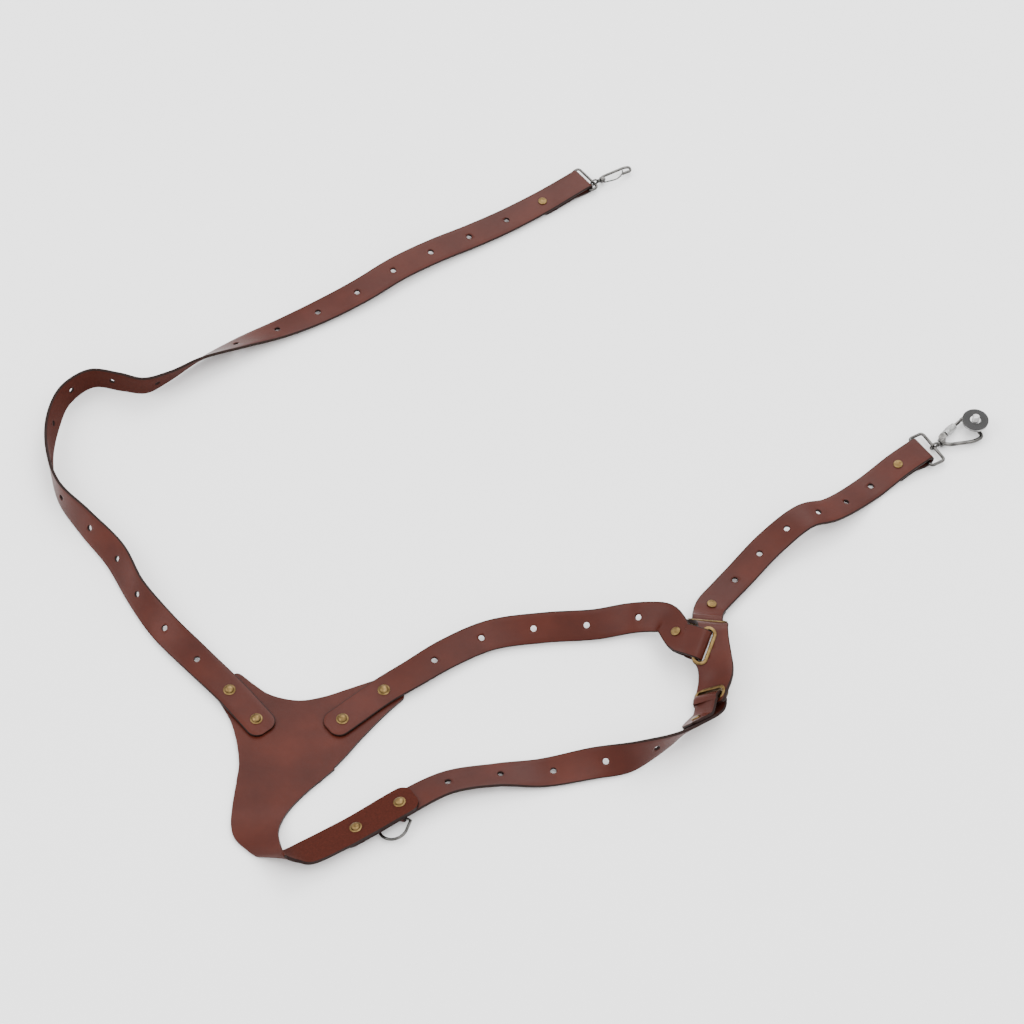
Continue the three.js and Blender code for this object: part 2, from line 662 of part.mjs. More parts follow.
// ---------- rivets: a domed cap on the front and a post with a flat foot on the back ----------
function addRivet(name, frame, top, bottom) {
  const R = RIVET_HEAD / 2;
  const seat = top + GAP;
  const cap = [
    [0, seat + 1.2], [1.25, seat + 1.2], [1.25, seat], [R - 0.4, seat], [R, seat + 0.4],
    [R - 0.7, seat + 1.7], [R / 2, seat + 2.6], [0, seat + 2.9],
  ];
  const foot = bottom - GAP;
  const post = [
    [0, foot - 0.7], [R - 1, foot - 0.7], [R - 0.7, foot - 0.4], [R - 0.7, foot],
    [RIVET_SHANK / 2, foot], [RIVET_SHANK / 2, top - 0.2], [0.95, top], [0.95, seat + 0.9],
    [0, seat + 0.9],
  ];
  const group = groupAt(frame);
  add(group, `${name}_cap`, lathe(cap, 12), brass());
  add(group, `${name}_post`, lathe(post, 10), brass());
}

const strapTop = STRAP_THICK / 2;
const underYoke = -strapTop - LAYER_GAP - YOKE_THICK;
addRivet("long_strap_rivet_1", longPath.at(LONG_RIVETS[0]), strapTop, underYoke);
addRivet("long_strap_rivet_2", longPath.at(LONG_RIVETS[1]), strapTop, underYoke);
addRivet("upper_strap_rivet_1", upperPath.at(UPPER_RIVETS[0]), strapTop, underYoke);
addRivet("upper_strap_rivet_2", upperPath.at(UPPER_RIVETS[1]), strapTop, underYoke);
const overArm = strapTop + LAYER_GAP + YOKE_THICK;
const underTab = -strapTop - LAYER_GAP - 2 * TAB_THICK - GAP;
addRivet("lower_strap_rivet_1", lowerPath.at(LOWER_RIVETS[0]), overArm, -strapTop);
addRivet("lower_strap_rivet_2", lowerPath.at(LOWER_RIVETS[1]), overArm, underTab);

// ---------- strap studs: a low cap with a tube, and a screw from behind ----------
function addStud(name, frame, room = GAP) {
  const R = STUD_HEAD / 2;
  const seat = strapTop + room;
  const back = -strapTop - GAP - STRAP_THICK;
  const post = [
    [0, -0.4], [1.25, -0.4], [1.25, back], [STUD_SHANK / 2, back], [STUD_SHANK / 2, seat],
    [R, seat], [R, seat + 0.5], [R - 0.8, seat + 1.3], [0, seat + 1.6],
  ];
  const screw = [
    [0, back - room - 1.1], [R - 0.4, back - room - 1.1], [R, back - room - 0.7],
    [R, back - room], [0.95, back - room], [0.95, -0.8], [0, -0.8],
  ];
  const group = groupAt(frame);
  add(group, `${name}_cap`, lathe(post, 12), brass());
  add(group, `${name}_screw`, lathe(screw, 10), brass());
}

addStud("long_strap_stud", longPath.at(LONG_STUD));
addStud("upper_strap_stud", upperPath.at(UPPER_STUD), 2 * GAP);
addStud("lower_strap_stud", lowerPath.at(LOWER_STUD));
addStud("camera_strap_stud_1", cameraPath.at(CAMERA_START_STUD), 3 * GAP);
addStud("camera_strap_stud_2", cameraPath.at(CAMERA_STUD));

// ---------- ring on the yoke, with the leather tab that holds it ----------
const tabDirection = new THREE.Vector3(-0.35, -0.94, 0);
const tabUnder = strapTop + LAYER_GAP + TAB_THICK / 2;
const rivetPlace = lowerPath.at(LOWER_RIVETS[1]);
const tabFrame = offsetFrame(rivetPlace, 0, 0, -tabUnder);
tabFrame.t = tabDirection.clone().addScaledVector(tabFrame.n, -tabDirection.dot(tabFrame.n)).normalize();
tabFrame.w = tabFrame.n.clone().cross(tabFrame.t);
const TAB_REACH = 7.5;
const tabPath = makePath([
  rowOf(offsetFrame(tabFrame, -7, 0, 0)),
  rowOf(offsetFrame(tabFrame, 0, 0, 0)),
  rowOf(offsetFrame(tabFrame, TAB_REACH, 0, 0)),
]);
const deeTurn = turnRound(DEE_WIRE, TAB_THICK, 0.3);
let tab = makeBand(tabPath, TAB_BAND, { end: { turn: deeTurn, from: 0.5, to: 3, tail: 14 } }, []);
tab = bored(tab, [tabFrame], rivetBore, 12);
add(layout, "ring_tab", tab, leather());

const deeFrame = offsetFrame(tabFrame, TAB_REACH, 0, -deeTurn);
const deePitch = THREE.MathUtils.degToRad(-6);
deeFrame.t.applyAxisAngle(deeFrame.w, -deePitch);
deeFrame.n = deeFrame.t.clone().cross(deeFrame.w);

function deeRing() {
  const half = (DEE_WIDTH - DEE_WIRE) / 2;
  const depth = DEE_DEPTH - DEE_WIRE;
  const points = [[0, -half, 0], [0, 0, 0], [0, half, 0]];
  const steps = 12;
  for (let k = 0; k <= steps; k++) {
    const a = Math.PI / 2 - (Math.PI * k) / steps;
    points.push([depth - half + half * Math.cos(a), half * Math.sin(a), 0]);
  }
  return wire(points, DEE_WIRE, 8, true);
}

add(groupAt(deeFrame), "d_ring", deeRing(), gunmetal());

// ---------- rings in the ends of two straps ----------
// x is forward and y across, with the bar that the strap turns round along y at x = 0.
function strapRing([across, depth], diameter) {
  const corners = [[0, -across / 2], [depth, -across / 2], [depth, across / 2], [0, across / 2]];
  return wire(roundedLine(corners, 3, true), diameter, 8, true);
}

// A swivel eye: a ring round a bar along y, whose stem turns in the collar of a hook. The stem
// runs along x and ends in a head behind the collar.
function swivelEye(inner, diameter, stem, head, collarFrom, collarTo) {
  const radius = (inner + diameter) / 2;
  const points = [];
  for (let k = 0; k < 14; k++) {
    const a = (2 * Math.PI * k) / 14;
    points.push([radius * Math.cos(a), 0, radius * Math.sin(a)]);
  }
  const ring = wire(points, diameter, 8, true);
  const headFrom = collarTo + GAP;
  return ring
    .add(rod(stem, radius, headFrom))
    .add(rod(head, headFrom, headFrom + 1))
    .add(rod(stem + 1.8, radius, collarFrom - GAP));
}

function rod(diameter, from, to) {
  const profile = [[0, from], [diameter / 2, from], [diameter / 2, to], [0, to]];
  return solidOf(lathe(profile, 10).rotateY(Math.PI / 2));
}

function collar(outer, inner, from, to) {
  const profile = [[inner / 2, from], [outer / 2, from], [outer / 2, to], [inner / 2, to], [inner / 2, from]];
  return solidOf(lathe(profile, 12).rotateY(Math.PI / 2));
}

// ---------- snap hook at the end of the long strap ----------
const snapBar = offsetFrame(longPath.at(longPath.length), 0, 0, -snapTurn);
add(groupAt(snapBar), "snap_ring", strapRing(SNAP_RING, SNAP_RING_WIRE), gunmetal());

const SNAP_OFFSET = -8; // the hook's place along the ring's front bar
const eyeCentre = offsetFrame(snapBar, SNAP_RING[1] + 0.7, SNAP_OFFSET, 0).p;
const snapFrame = frameFrom(eyeCentre.toArray(), [0.906, 0.423, -0.02], [0, 0, 1]);
const snapGroup = groupAt(snapFrame);
const SNAP_COLLAR = [6.2, 10];
add(snapGroup, "snap_eye", swivelEye(4.6, 1.7, 1.8, 3, ...SNAP_COLLAR), gunmetal());

function snapBody() {
  const spine = [[8.6, 2.4], [10.4, 3.4], [33.5, 5.6], [38.5, 4.2], [37.5, -0.6], [28, -0.9]];
  const hook = wire(roundedLine(spine, 4, false), SNAP_WIRE, 8, false);
  return hook.subtract(rod(3.6, 6, 12)).add(collar(6, 2.4, ...SNAP_COLLAR));
}

add(snapGroup, "snap_hook", snapBody(), gunmetal());

// The wire gate springs from the collar's side and rests over the hook's nose.
const SNAP_GATE = [
  [8.2, -3.95, 0.3], [12, -4.4, 0.4], [20.5, -5.4, 1], [24.5, -4.4, 1.8], [27.8, -2.2, 2.4],
  [29.6, 1.4, 2.5],
];
const snapGatePath = new THREE.CatmullRomCurve3(SNAP_GATE.map(vec), false, "centripetal");
const snapGatePoints = snapGatePath.getPoints(12).map((p) => p.toArray());
add(snapGroup, "snap_gate", wire(snapGatePoints, SNAP_GATE_WIRE, 6, false), gunmetal());

// ---------- carabiner at the end of the camera strap ----------
const ringBar = offsetFrame(cameraPath.at(cameraPath.length), 0, 0, -ringTurn);
const ringTip = [0.86, 0.51, -0.06];
const ringFrame = frameFrom(ringBar.p.toArray(), ringTip, ringBar.n.toArray());
add(groupAt(ringFrame), "strap_ring", strapRing(STRAP_RING, STRAP_RING_WIRE), gunmetal());

const ringFront = offsetFrame(ringFrame, STRAP_RING[1] + 0.8, 0, 0).p;
const carabinerFrame = frameFrom(ringFront.toArray(), [0.868, 0.493, -0.01], [0, 0, 1]);
const carabiner = groupAt(carabinerFrame);
const COLLAR = [6, 10];
add(carabiner, "carabiner_eye", swivelEye(4.8, 2, 2.2, 3.6, ...COLLAR), gunmetal());

// A six-sided sleeve screws along the gate towards the nose to lock it.
function lockSleeve() {
  const R = SLEEVE_DIAMETER / 2;
  const profile = [
    [R - 1.55, 4], [R - 0.5, 4], [R, 4.8], [R, 15.2], [R - 0.5, 16], [R - 1.55, 16], [R - 1.55, 4],
  ];
  return solidOf(lathe(profile, 12).rotateY(Math.PI / 2));
}

// The gate's pin stands through the frame's fork beside the collar.
const PIN = 1.6;
const GATE_PIVOT = [12, 5.2];
const NOSE = [35.2, 11.6];

function localFrame(x, y) {
  return { p: vec([x, y, 0]), t: vec([1, 0, 0]), w: vec([0, 1, 0]), n: vec([0, 0, 1]) };
}

function carabinerBody() {
  const line = [[8.5, -1.8], [13, -5.4], [33, -12.6], [42.6, -12], [42.6, 12.6], [37.5, 12.3], NOSE];
  const arm = wire(roundedLine(line, 6, false), CARABINER_WIRE, 8, false);
  const fork = solidOf(new THREE.BoxGeometry(7, 6.4, 6).translate(11, 4, 0));
  const gateRoom = new THREE.BoxGeometry(14, 12, GATE_WIRE + 2 * GAP).translate(16.1, 6.6, 0);
  const solid = fork.add(collar(7, 2.8, ...COLLAR)).add(arm);
  const cut = solid.subtract(solidOf(gateRoom)).subtract(rod(4.4, 10, 12)).subtract(rod(2.8, 5, 11));
  return bored(cut, [localFrame(...GATE_PIVOT)], PIN + 2 * GAP, 12);
}

// The gate turns on the pin, and its free end meets the frame's nose.
const gateAngle = Math.atan2(NOSE[1] - GATE_PIVOT[1], NOSE[0] - GATE_PIVOT[0]);
const gateLength = Math.hypot(NOSE[0] - GATE_PIVOT[0], NOSE[1] - GATE_PIVOT[1]) - 0.6;
const atGate = (geometry) => geometry.rotateZ(gateAngle).translate(...GATE_PIVOT, 0);

function carabinerGate() {
  const eye = solidOf(new THREE.CylinderGeometry(2.3, 2.3, GATE_WIRE, 12).rotateX(Math.PI / 2));
  const bar = rod(GATE_WIRE, 1.2, gateLength);
  const bore = new THREE.CylinderGeometry(PIN / 2 + 0.05, PIN / 2 + 0.05, 9, 12).rotateX(Math.PI / 2);
  return atGate(geometryOf(eye.add(bar).subtract(solidOf(bore))));
}

function gatePin() {
  const half = 3.2;
  const profile = [[0, -half], [PIN / 2, -half], [PIN / 2, half], [0, half]];
  return lathe(profile, 12).translate(...GATE_PIVOT, 0);
}

add(carabiner, "carabiner_frame", carabinerBody(), gunmetal());
add(carabiner, "carabiner_gate", carabinerGate(), gunmetal());
add(carabiner, "carabiner_gate_pin", gatePin(), gunmetal());
add(carabiner, "lock_sleeve", atGate(geometryOf(lockSleeve())), gunmetal());

// ---------- camera plate: a link round the carabiner, a plate, a rubber pad and a screw ----------
const LINK_PLACE = [42.6, 1.3];

function plateLink() {
  const radius = (CARABINER_WIRE + 0.9 + 1.7) / 2;
  const points = [];
  for (let k = 0; k < 14; k++) {
    const a = (2 * Math.PI * k) / 14;
    points.push([radius * Math.cos(a), 0, radius * Math.sin(a)]);
  }
  const boss = [[0, radius], [3, radius], [4.2, 3.9], [4.2, 5], [1.5, 5], [1.5, 4.1], [0, 4.1]];
  return wire(points, 1.7, 8, true).add(solidOf(lathe(boss, 14)));
}

function ringPlate(outer, inner, from, to, bevel) {
  const profile = [
    [inner, from], [outer - bevel, from], [outer, from + bevel], [outer, to - bevel],
    [outer - bevel, to], [inner, to], [inner, from],
  ];
  return lathe(profile, 24);
}

function cameraScrew() {
  const profile = [
    [0, 4.4], [1.2, 4.4], [1.2, 7.9], [4.6, 7.9], [4.6, 8.7], [3.1, 8.9], [3.1, 13], [2.6, 13.5],
    [0, 13.5],
  ];
  return lathe(profile, 16);
}

const link = new THREE.Group();
link.position.set(...LINK_PLACE, 0);
carabiner.add(link);
const plateRadius = PLATE_DIAMETER / 2;
add(link, "plate_link", plateLink(), gunmetal());
add(link, "camera_plate", ringPlate(plateRadius - 0.2, 1.5, 5.3, 7.6, 0.4), steel());
add(link, "rubber_pad", ringPlate(plateRadius, 4.9, 7.9, 9.5, 0.3), rubber());
add(link, "camera_screw", cameraScrew(), steel());

export default harness;
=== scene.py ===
# %% [markdown]
# # A leather shoulder harness, laid flat
# The harness is a Y-shaped yoke with punched straps, a connector with three metal-edged slots, a
# small snap hook and a carabiner with a screw plate. The imported model gives every piece its place
# and its joints. This lesson gives each piece its real surface. We start by loading that model.

# %% Load the imported model
import json
import math

import bmesh
import bpy
import numpy as np
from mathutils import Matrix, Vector


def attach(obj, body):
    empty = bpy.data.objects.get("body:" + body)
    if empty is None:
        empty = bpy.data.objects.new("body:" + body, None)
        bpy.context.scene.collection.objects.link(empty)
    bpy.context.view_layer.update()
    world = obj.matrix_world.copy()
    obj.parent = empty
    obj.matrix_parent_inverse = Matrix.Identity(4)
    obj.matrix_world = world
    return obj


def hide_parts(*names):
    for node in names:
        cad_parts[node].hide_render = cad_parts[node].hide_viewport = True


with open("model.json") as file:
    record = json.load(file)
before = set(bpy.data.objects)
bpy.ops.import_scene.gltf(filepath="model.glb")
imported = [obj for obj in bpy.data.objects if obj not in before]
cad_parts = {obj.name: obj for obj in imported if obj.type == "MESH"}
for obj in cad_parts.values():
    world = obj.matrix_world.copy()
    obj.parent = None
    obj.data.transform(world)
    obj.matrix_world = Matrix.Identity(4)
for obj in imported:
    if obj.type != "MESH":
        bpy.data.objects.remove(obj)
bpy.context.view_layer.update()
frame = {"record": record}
bodies = frame["record"]["behaviour"]["bodies"]
body_of = {node: body for body, nodes in bodies.items() for node in nodes}
print("nodes in the packed model:", len(body_of))

# %% [markdown]
# ## Measures
# Leather workers think in millimetres, so every size here is in millimetres and is turned into
# Blender's metres in one place only. The layout has its own corner, and the footprint's middle is
# moved to the origin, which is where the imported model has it.

# %% Driving sizes and the step from layout to scene
FOOTPRINT_CENTRE = np.array([5.67, 25.84, -0.02])
GAP = 0.3
STRAP_HALF = 12.5
STRAP_THICK = 2.5
STRAP_CORNER = 9.0
HOLE_DIAMETER = 5.0
YOKE_THICK = 2.8
YOKE_LIFT = 1.1
LAYER_GAP = 0.35
CONNECTOR_THICK = 3.0
SLOT_LENGTH = 27.0
SLOT_WIDTH = 7.0
EYELET_WALL = 0.8
EYELET_FLANGE = 3.0
MARGIN_CENTRE = 5.2
MARGIN_EDGE = 8.9
STRAP_TURN = 5.4
EDGE_ROUND = 0.75


def to_scene(places):
    """Layout millimetres to scene metres."""
    return (np.asarray(places, float) - FOOTPRINT_CENTRE) * 0.001


print("strap:", 2 * STRAP_HALF, "x", STRAP_THICK, "mm")

# %% [markdown]
# ## Camera
# The camera stands in front of the harness and looks down on it from 54 degrees above the floor,
# through a 90 mm lens from a little over two metres, which keeps the far strap almost as wide as
# the near one.

# %% Camera
CAMERA_HEIGHT_ANGLE = math.radians(54)
CAMERA_DISTANCE = 2150.0
look_at = to_scene([0, 0, 0])
stand = to_scene([
    0,
    -CAMERA_DISTANCE * math.cos(CAMERA_HEIGHT_ANGLE),
    CAMERA_DISTANCE * math.sin(CAMERA_HEIGHT_ANGLE),
])
camera_data = bpy.data.cameras.new("camera")
camera_data.lens = 90
camera_data.sensor_width = 36
camera = bpy.data.objects.new("camera", camera_data)
bpy.context.scene.collection.objects.link(camera)
camera.location = stand
camera.rotation_euler = Vector(look_at - stand).to_track_quat("-Z", "Y").to_euler()
bpy.context.scene.camera = camera
print("camera at", [round(float(c), 3) for c in stand])

# %% [markdown]
# ## Routes
# A strap that is thrown on a table curves, leans and twists. Each one is written as the few places
# that it passes, and at each place how far it leans: 0 is flat, 90 is standing on its edge. A
# centripetal curve through those rows gives a natural line with no loops between close points.

# %% The rows of each route: x, y, z and lean in degrees
LONG_STRAP_ROUTE = [
    [-193, -218, 5.5, 0], [-202, -207, 5.5, 0], [-225, -180, 5.5, 0], [-254, -150, 6.2, -8],
    [-282, -121, 8.6, -28], [-307, -88, 11, -50], [-327, -52, 11, -45], [-355, -19, 12, -60],
    [-380, 12, 14, -82], [-392, 51, 15, -94], [-392, 88, 15, -102], [-384, 116, 14, -96],
    [-364, 133, 14, -88], [-338, 129, 14, -88], [-317, 125, 14, -80], [-297, 136, 13, -67],
    [-273, 155, 12, -54], [-239, 177, 8, -30], [-203, 197, 5, -10], [-169, 216, 6, 3],
    [-135, 237, 9, 8], [-102, 263, 10, 10], [-69, 285, 9, 10], [-37, 304, 7, 9],
    [-5, 324, 6, 7], [28, 347, 6, 3], [48, 361.5, 7.2, 0], [64, 373.5, 8, 0],
]
UPPER_STRAP_ROUTE = [
    [-145, -216, 5.5, 0], [-134, -207, 5.5, 0], [-102, -180, 5.5, 0], [-79, -165, 7.4, 5],
    [-52, -147, 9, 16], [-17, -130, 10, 24], [27, -124, 12, 36], [67, -121, 12, 36],
    [96, -115, 12, 26], [113, -117, 17, 27], [124, -122, 22, 27],
]
LOWER_STRAP_ROUTE = [
    [-133, -315, 5, -14], [-119, -306.5, 5.2, -14], [-105, -298, 6.7, -13], [-86, -286, 8.2, -12],
    [-50, -266, 8.8, -16], [-11, -258, 7, -16], [24, -255, 5, 2], [64, -248, 8, 24],
    [88, -246, 12, 50], [102, -242, 14, 72], [117, -235, 14, 92], [131, -227, 14, 108],
    [143, -217, 13, 122],
]
CAMERA_STRAP_ROUTE = [
    [162, -100, 6.9, 0], [173, -86, 6.3, 0], [186, -71, 7, 2], [214, -41, 13, 4],
    [243, -19, 20, 0], [266, -8, 14, -2], [299, 21, 3, 0], [328, 45, 6.4, 0],
    [347, 58, 9.9, 0],
]
# The connector's rows also say how far it reaches to the left and to the right.
CONNECTOR_ROUTE = [
    [154, -204, 14, -47, 15.5, 15.5], [156, -197, 14, -46, 17, 17],
    [157.5, -190, 14.5, -44, 16, 17], [159, -179, 16.5, -32, 12.5, 17.5],
    [159.5, -168, 19.5, -16, 12, 17], [159, -157, 22.5, -7, 16.5, 16],
    [158, -147, 26, -5, 17.5, 15.5], [157, -138, 28, -4, 10, 16],
    [156.5, -131.5, 27, 0, 8, 17], [157, -126.5, 22, 0, 11.5, 17],
    [157.5, -122, 16, 0, 17, 17], [158, -116, 7.5, 0, 16.5, 15.5],
]
# The yoke's arm turns over as it goes, so its rows give its middle, and then the step from there
# to its inner edge.
YOKE_ARM_ROWS = [
    [-175.5, -248.3, 2.5, 37, -2.2, 0], [-188, -272.2, 2.5, 27.5, -0.2, 0],
    [-194, -286.5, 2.5, 22.5, 0.5, 0], [-196.6, -298.5, 3.5, 19.8, 1.5, 0.9],
    [-196.3, -309.5, 5.2, 17.4, 0.6, 2.8], [-191.1, -321.2, 8.4, 15, -2.5, 6.4],
    [-183.6, -331, 11.8, 11.4, -5.2, 10], [-175.5, -332.4, 12.6, 7.2, -7.8, 11.2],
    [-168, -331.2, 10.3, 6.8, -8.9, 8.6], [-156.1, -327.3, 9, 4.8, -11.6, 4.8],
]
ARM_HALF_ON_STRAP = 13
print("rows in the long strap's route:", len(LONG_STRAP_ROUTE))

# %% A route that knows its length
UP = np.array([0.0, 0.0, 1.0])


def unit(v):
    v = np.asarray(v, float)
    return v / np.linalg.norm(v, axis=-1, keepdims=True)


def smooth_rows(rows, per):
    """Centripetal Catmull-Rom through rows of numbers, of which the first three are a place."""
    rows = [np.array(r, float) for r in rows]
    rows = [2 * rows[0] - rows[1]] + rows + [2 * rows[-1] - rows[-2]]
    out = []
    for a, b, c, d in zip(rows, rows[1:], rows[2:], rows[3:]):
        t1 = math.sqrt(np.linalg.norm(b[:3] - a[:3]))
        t2 = t1 + math.sqrt(np.linalg.norm(c[:3] - b[:3]))
        t3 = t2 + math.sqrt(np.linalg.norm(d[:3] - c[:3]))
        for t in np.linspace(t1, t2, per, endpoint=False):
            ab = ((t1 - t) * a + t * b) / t1
            bc = ((t2 - t) * b + (t - t1) * c) / (t2 - t1)
            cd = ((t3 - t) * c + (t - t2) * d) / (t3 - t2)
            abc = ((t2 - t) * ab + t * bc) / t2
            bcd = ((t3 - t) * bc + (t - t1) * cd) / (t3 - t1)
            out.append(((t2 - t) * abc + (t - t1) * bcd) / (t2 - t1))
    out.append(rows[-2])
    return np.array(out)


class Route:
    """Where a band of leather runs. frames(s) gives its place and its three directions."""

    def __init__(self, rows, per=24):
        self.rows = smooth_rows(rows, per)
        places = self.rows[:, :3]
        steps = np.linalg.norm(np.diff(places, axis=0), axis=1)
        self.along = np.concatenate([[0], np.cumsum(steps)])
        self.knots = self.along[::per]
        self.length = self.along[-1]
        self.tangents = unit(np.gradient(places, self.along, axis=0))

    def column(self, s, k):
        return np.interp(s, self.along, self.rows[:, k])

    def frames(self, s):
        s = np.atleast_1d(np.asarray(s, float))
        p = np.stack([self.column(s, k) for k in range(3)], 1)
        t = unit(np.stack([np.interp(s, self.along, self.tangents[:, k]) for k in range(3)], 1))
        lean = np.radians(self.column(s, 3))[:, None]
        side = unit(np.cross(UP, t))
        w = side * np.cos(lean) + np.cross(t, side) * np.sin(lean)
        return p, t, w, np.cross(t, w)

    def at(self, s):
        """One frame: place, along, across and out of the face."""
        return tuple(v[0] for v in self.frames(s))


def shifted(spot, along=0.0, across=0.0, out=0.0):
    p, t, w, n = spot
    return p + t * along + w * across + n * out, t, w, n


def row_of(spot):
    """The route row that puts a band at a frame."""
    p, t, w, _ = spot
    side = unit(np.cross(UP, t))
    lean = math.degrees(math.atan2(w @ np.cross(t, side), w @ side))
    return [*p, lean]


# %% [markdown]
# ## Slots decide where three straps end
# Three straps turn through the connector's slots, so the slots come first. The ends of those
# routes are then worked out from the slots: each strap lies over or under the leather beside its
# slot, and its turn begins above that leather's middle.

# %% Slots, and the routes that end at them
connector_route = Route(CONNECTOR_ROUTE)


def slot_frame(distance, across, turn, side):
    p, t, w, n = connector_route.at(distance)
    a = math.radians(turn)
    heading = t * math.cos(a) + w * math.sin(a)
    return p + w * across, heading * side, np.cross(n, heading) * side, n


SLOTS = {
    "upper": slot_frame(connector_route.knots[6] - 3, 5, 63, 1),
    "lower": slot_frame(connector_route.knots[2], 0, 0, -1),
    "camera": slot_frame(connector_route.knots[10], 0, 0, 1),
}


def beside_slot(slot, face, heading, beyond, height=STRAP_TURN):
    p, t, _, n = shifted(slot, MARGIN_CENTRE + beyond, 0, face * height)
    t = t * heading
    n = n * face
    return row_of((p, t, np.cross(n, t), n))


long_route = Route(LONG_STRAP_ROUTE)
upper_route = Route(UPPER_STRAP_ROUTE + [
    beside_slot(SLOTS["upper"], 1, -1, 15, 1.6),
    beside_slot(SLOTS["upper"], 1, -1, 10, 3.4),
    beside_slot(SLOTS["upper"], 1, -1, 5, 4.6),
    beside_slot(SLOTS["upper"], 1, -1, 0),
])
lower_route = Route(LOWER_STRAP_ROUTE + [
    beside_slot(SLOTS["lower"], -1, -1, 5),
    beside_slot(SLOTS["lower"], -1, -1, 0),
])
camera_route = Route([
    beside_slot(SLOTS["camera"], 1, 1, 0),
    beside_slot(SLOTS["camera"], 1, 1, 4),
] + CAMERA_STRAP_ROUTE)


def on_lower_strap(distance):
    p, _, w, _ = shifted(lower_route.at(distance), out=(STRAP_THICK + YOKE_THICK) / 2 + LAYER_GAP)
    return [*p, *(-w * ARM_HALF_ON_STRAP)]


arm_rows = smooth_rows(YOKE_ARM_ROWS + [
    on_lower_strap(lower_route.knots[1] + s) for s in (-14, -4, 6, 16, 26, 36, 44, 47, 50, 51.4, 52)
], 8)
print("long strap", round(long_route.length), "mm, camera strap", round(camera_route.length), "mm")

# %% Where rivets, studs and holes sit along the straps
LONG_RIVETS = [long_route.knots[1], long_route.knots[2]]
UPPER_RIVETS = [upper_route.knots[1], upper_route.knots[2]]
LOWER_RIVETS = [lower_route.knots[1], lower_route.knots[3]]
LONG_STUD = long_route.knots[25]
UPPER_STUD = upper_route.length - 22
LOWER_STUD = lower_route.length - 24
CAMERA_STUD = camera_route.length - 24
CAMERA_START_STUD = 19.0


def holes_between(start, end, count):
    return list(np.linspace(start, end, count + 2)[1:-1])


LONG_HOLES = holes_between(LONG_RIVETS[1], LONG_STUD, 20)
UPPER_HOLES = holes_between(UPPER_RIVETS[1] + 5, UPPER_STUD, 5)
LOWER_HOLES = holes_between(LOWER_RIVETS[1], LOWER_STUD, 5)
CAMERA_HOLES = holes_between(CAMERA_START_STUD, CAMERA_STUD, 6)
print("holes:", len(LONG_HOLES), len(UPPER_HOLES), len(LOWER_HOLES), len(CAMERA_HOLES))

# %% [markdown]
# ## Finishes
# Harness leather has a glossy grain side with fine creases and slow changes of colour, a matt
# fibrous back, and edges that are rubbed dark; that dark edge finish also lines the punched holes,
# where it is painted shade. The metal is old brass on the leather, dark nickel on the hooks, and
# bright steel on the camera plate and the lock sleeve. All of it is made from noise in the piece's
# own coordinates, so it needs no pictures and stays on the piece when it moves.

# %% Node helpers
def set_inputs(node, values):
    for name, value in values.items():
        node.inputs[name].default_value = value


def new_finish(name):
    material = bpy.data.materials.new(name)
    material.use_nodes = True
    nodes = material.node_tree.nodes
    return material, nodes, material.node_tree.links, nodes["Principled BSDF"]


def noise(nodes, links, scale, detail, roughness=0.5, stretch=None):
    coordinates = nodes.new("ShaderNodeTexCoord")
    texture = nodes.new("ShaderNodeTexNoise")
    set_inputs(texture, {"Scale": scale, "Detail": detail, "Roughness": roughness})
    source = coordinates.outputs["Object"]
    if stretch:
        mapping = nodes.new("ShaderNodeMapping")
        mapping.inputs["Scale"].default_value = stretch
        links.new(source, mapping.inputs["Vector"])
        source = mapping.outputs["Vector"]
    links.new(source, texture.inputs["Vector"])
    return texture.outputs["Fac"]


def ramp(nodes, links, value, stops):
    node = nodes.new("ShaderNodeValToRGB")
    while len(node.color_ramp.elements) < len(stops):
        node.color_ramp.elements.new(0.5)
    for element, (place, colour) in zip(node.color_ramp.elements, stops):
        element.position = place
        element.color = (*colour, 1)
    links.new(value, node.inputs["Fac"])
    return node.outputs["Color"]


def spread(nodes, links, value, low, high):
    node = nodes.new("ShaderNodeMapRange")
    set_inputs(node, {"From Min": 0.3, "From Max": 0.7, "To Min": low, "To Max": high})
    links.new(value, node.inputs["Value"])
    return node.outputs["Result"]


def bump(nodes, links, value, strength, distance, below=None):
    node = nodes.new("ShaderNodeBump")
    set_inputs(node, {"Strength": strength, "Distance": distance})
    links.new(value, node.inputs["Height"])
    if below:
        links.new(below, node.inputs["Normal"])
    return node.outputs["Normal"]


# %% Leather: grain side, flesh side, and rubbed edge that is also painted shade in the holes
def grain_leather():
    material, nodes, links, shader = new_finish("grain side of the leather")
    cloud = noise(nodes, links, 26, 4, 0.55)
    colour = ramp(nodes, links, cloud, [
        (0.25, (0.031, 0.0046, 0.0020)),
        (0.5, (0.042, 0.0065, 0.0028)),
        (0.78, (0.058, 0.0098, 0.0044)),
    ])
    links.new(colour, shader.inputs["Base Color"])
    fine = noise(nodes, links, 900, 3, 0.6)
    links.new(spread(nodes, links, fine, 0.34, 0.48), shader.inputs["Roughness"])
    coordinates = nodes.new("ShaderNodeTexCoord")
    creases = nodes.new("ShaderNodeTexVoronoi")
    creases.feature = "DISTANCE_TO_EDGE"
    creases.inputs["Scale"].default_value = 950
    links.new(coordinates.outputs["Object"], creases.inputs["Vector"])
    low = bump(nodes, links, creases.outputs["Distance"], 0.10, 0.0004)
    waves = bump(nodes, links, noise(nodes, links, 160, 2), 0.10, 0.0012, low)
    links.new(bump(nodes, links, fine, 0.10, 0.0003, waves), shader.inputs["Normal"])
    shader.inputs["Specular IOR Level"].default_value = 0.16
    return material


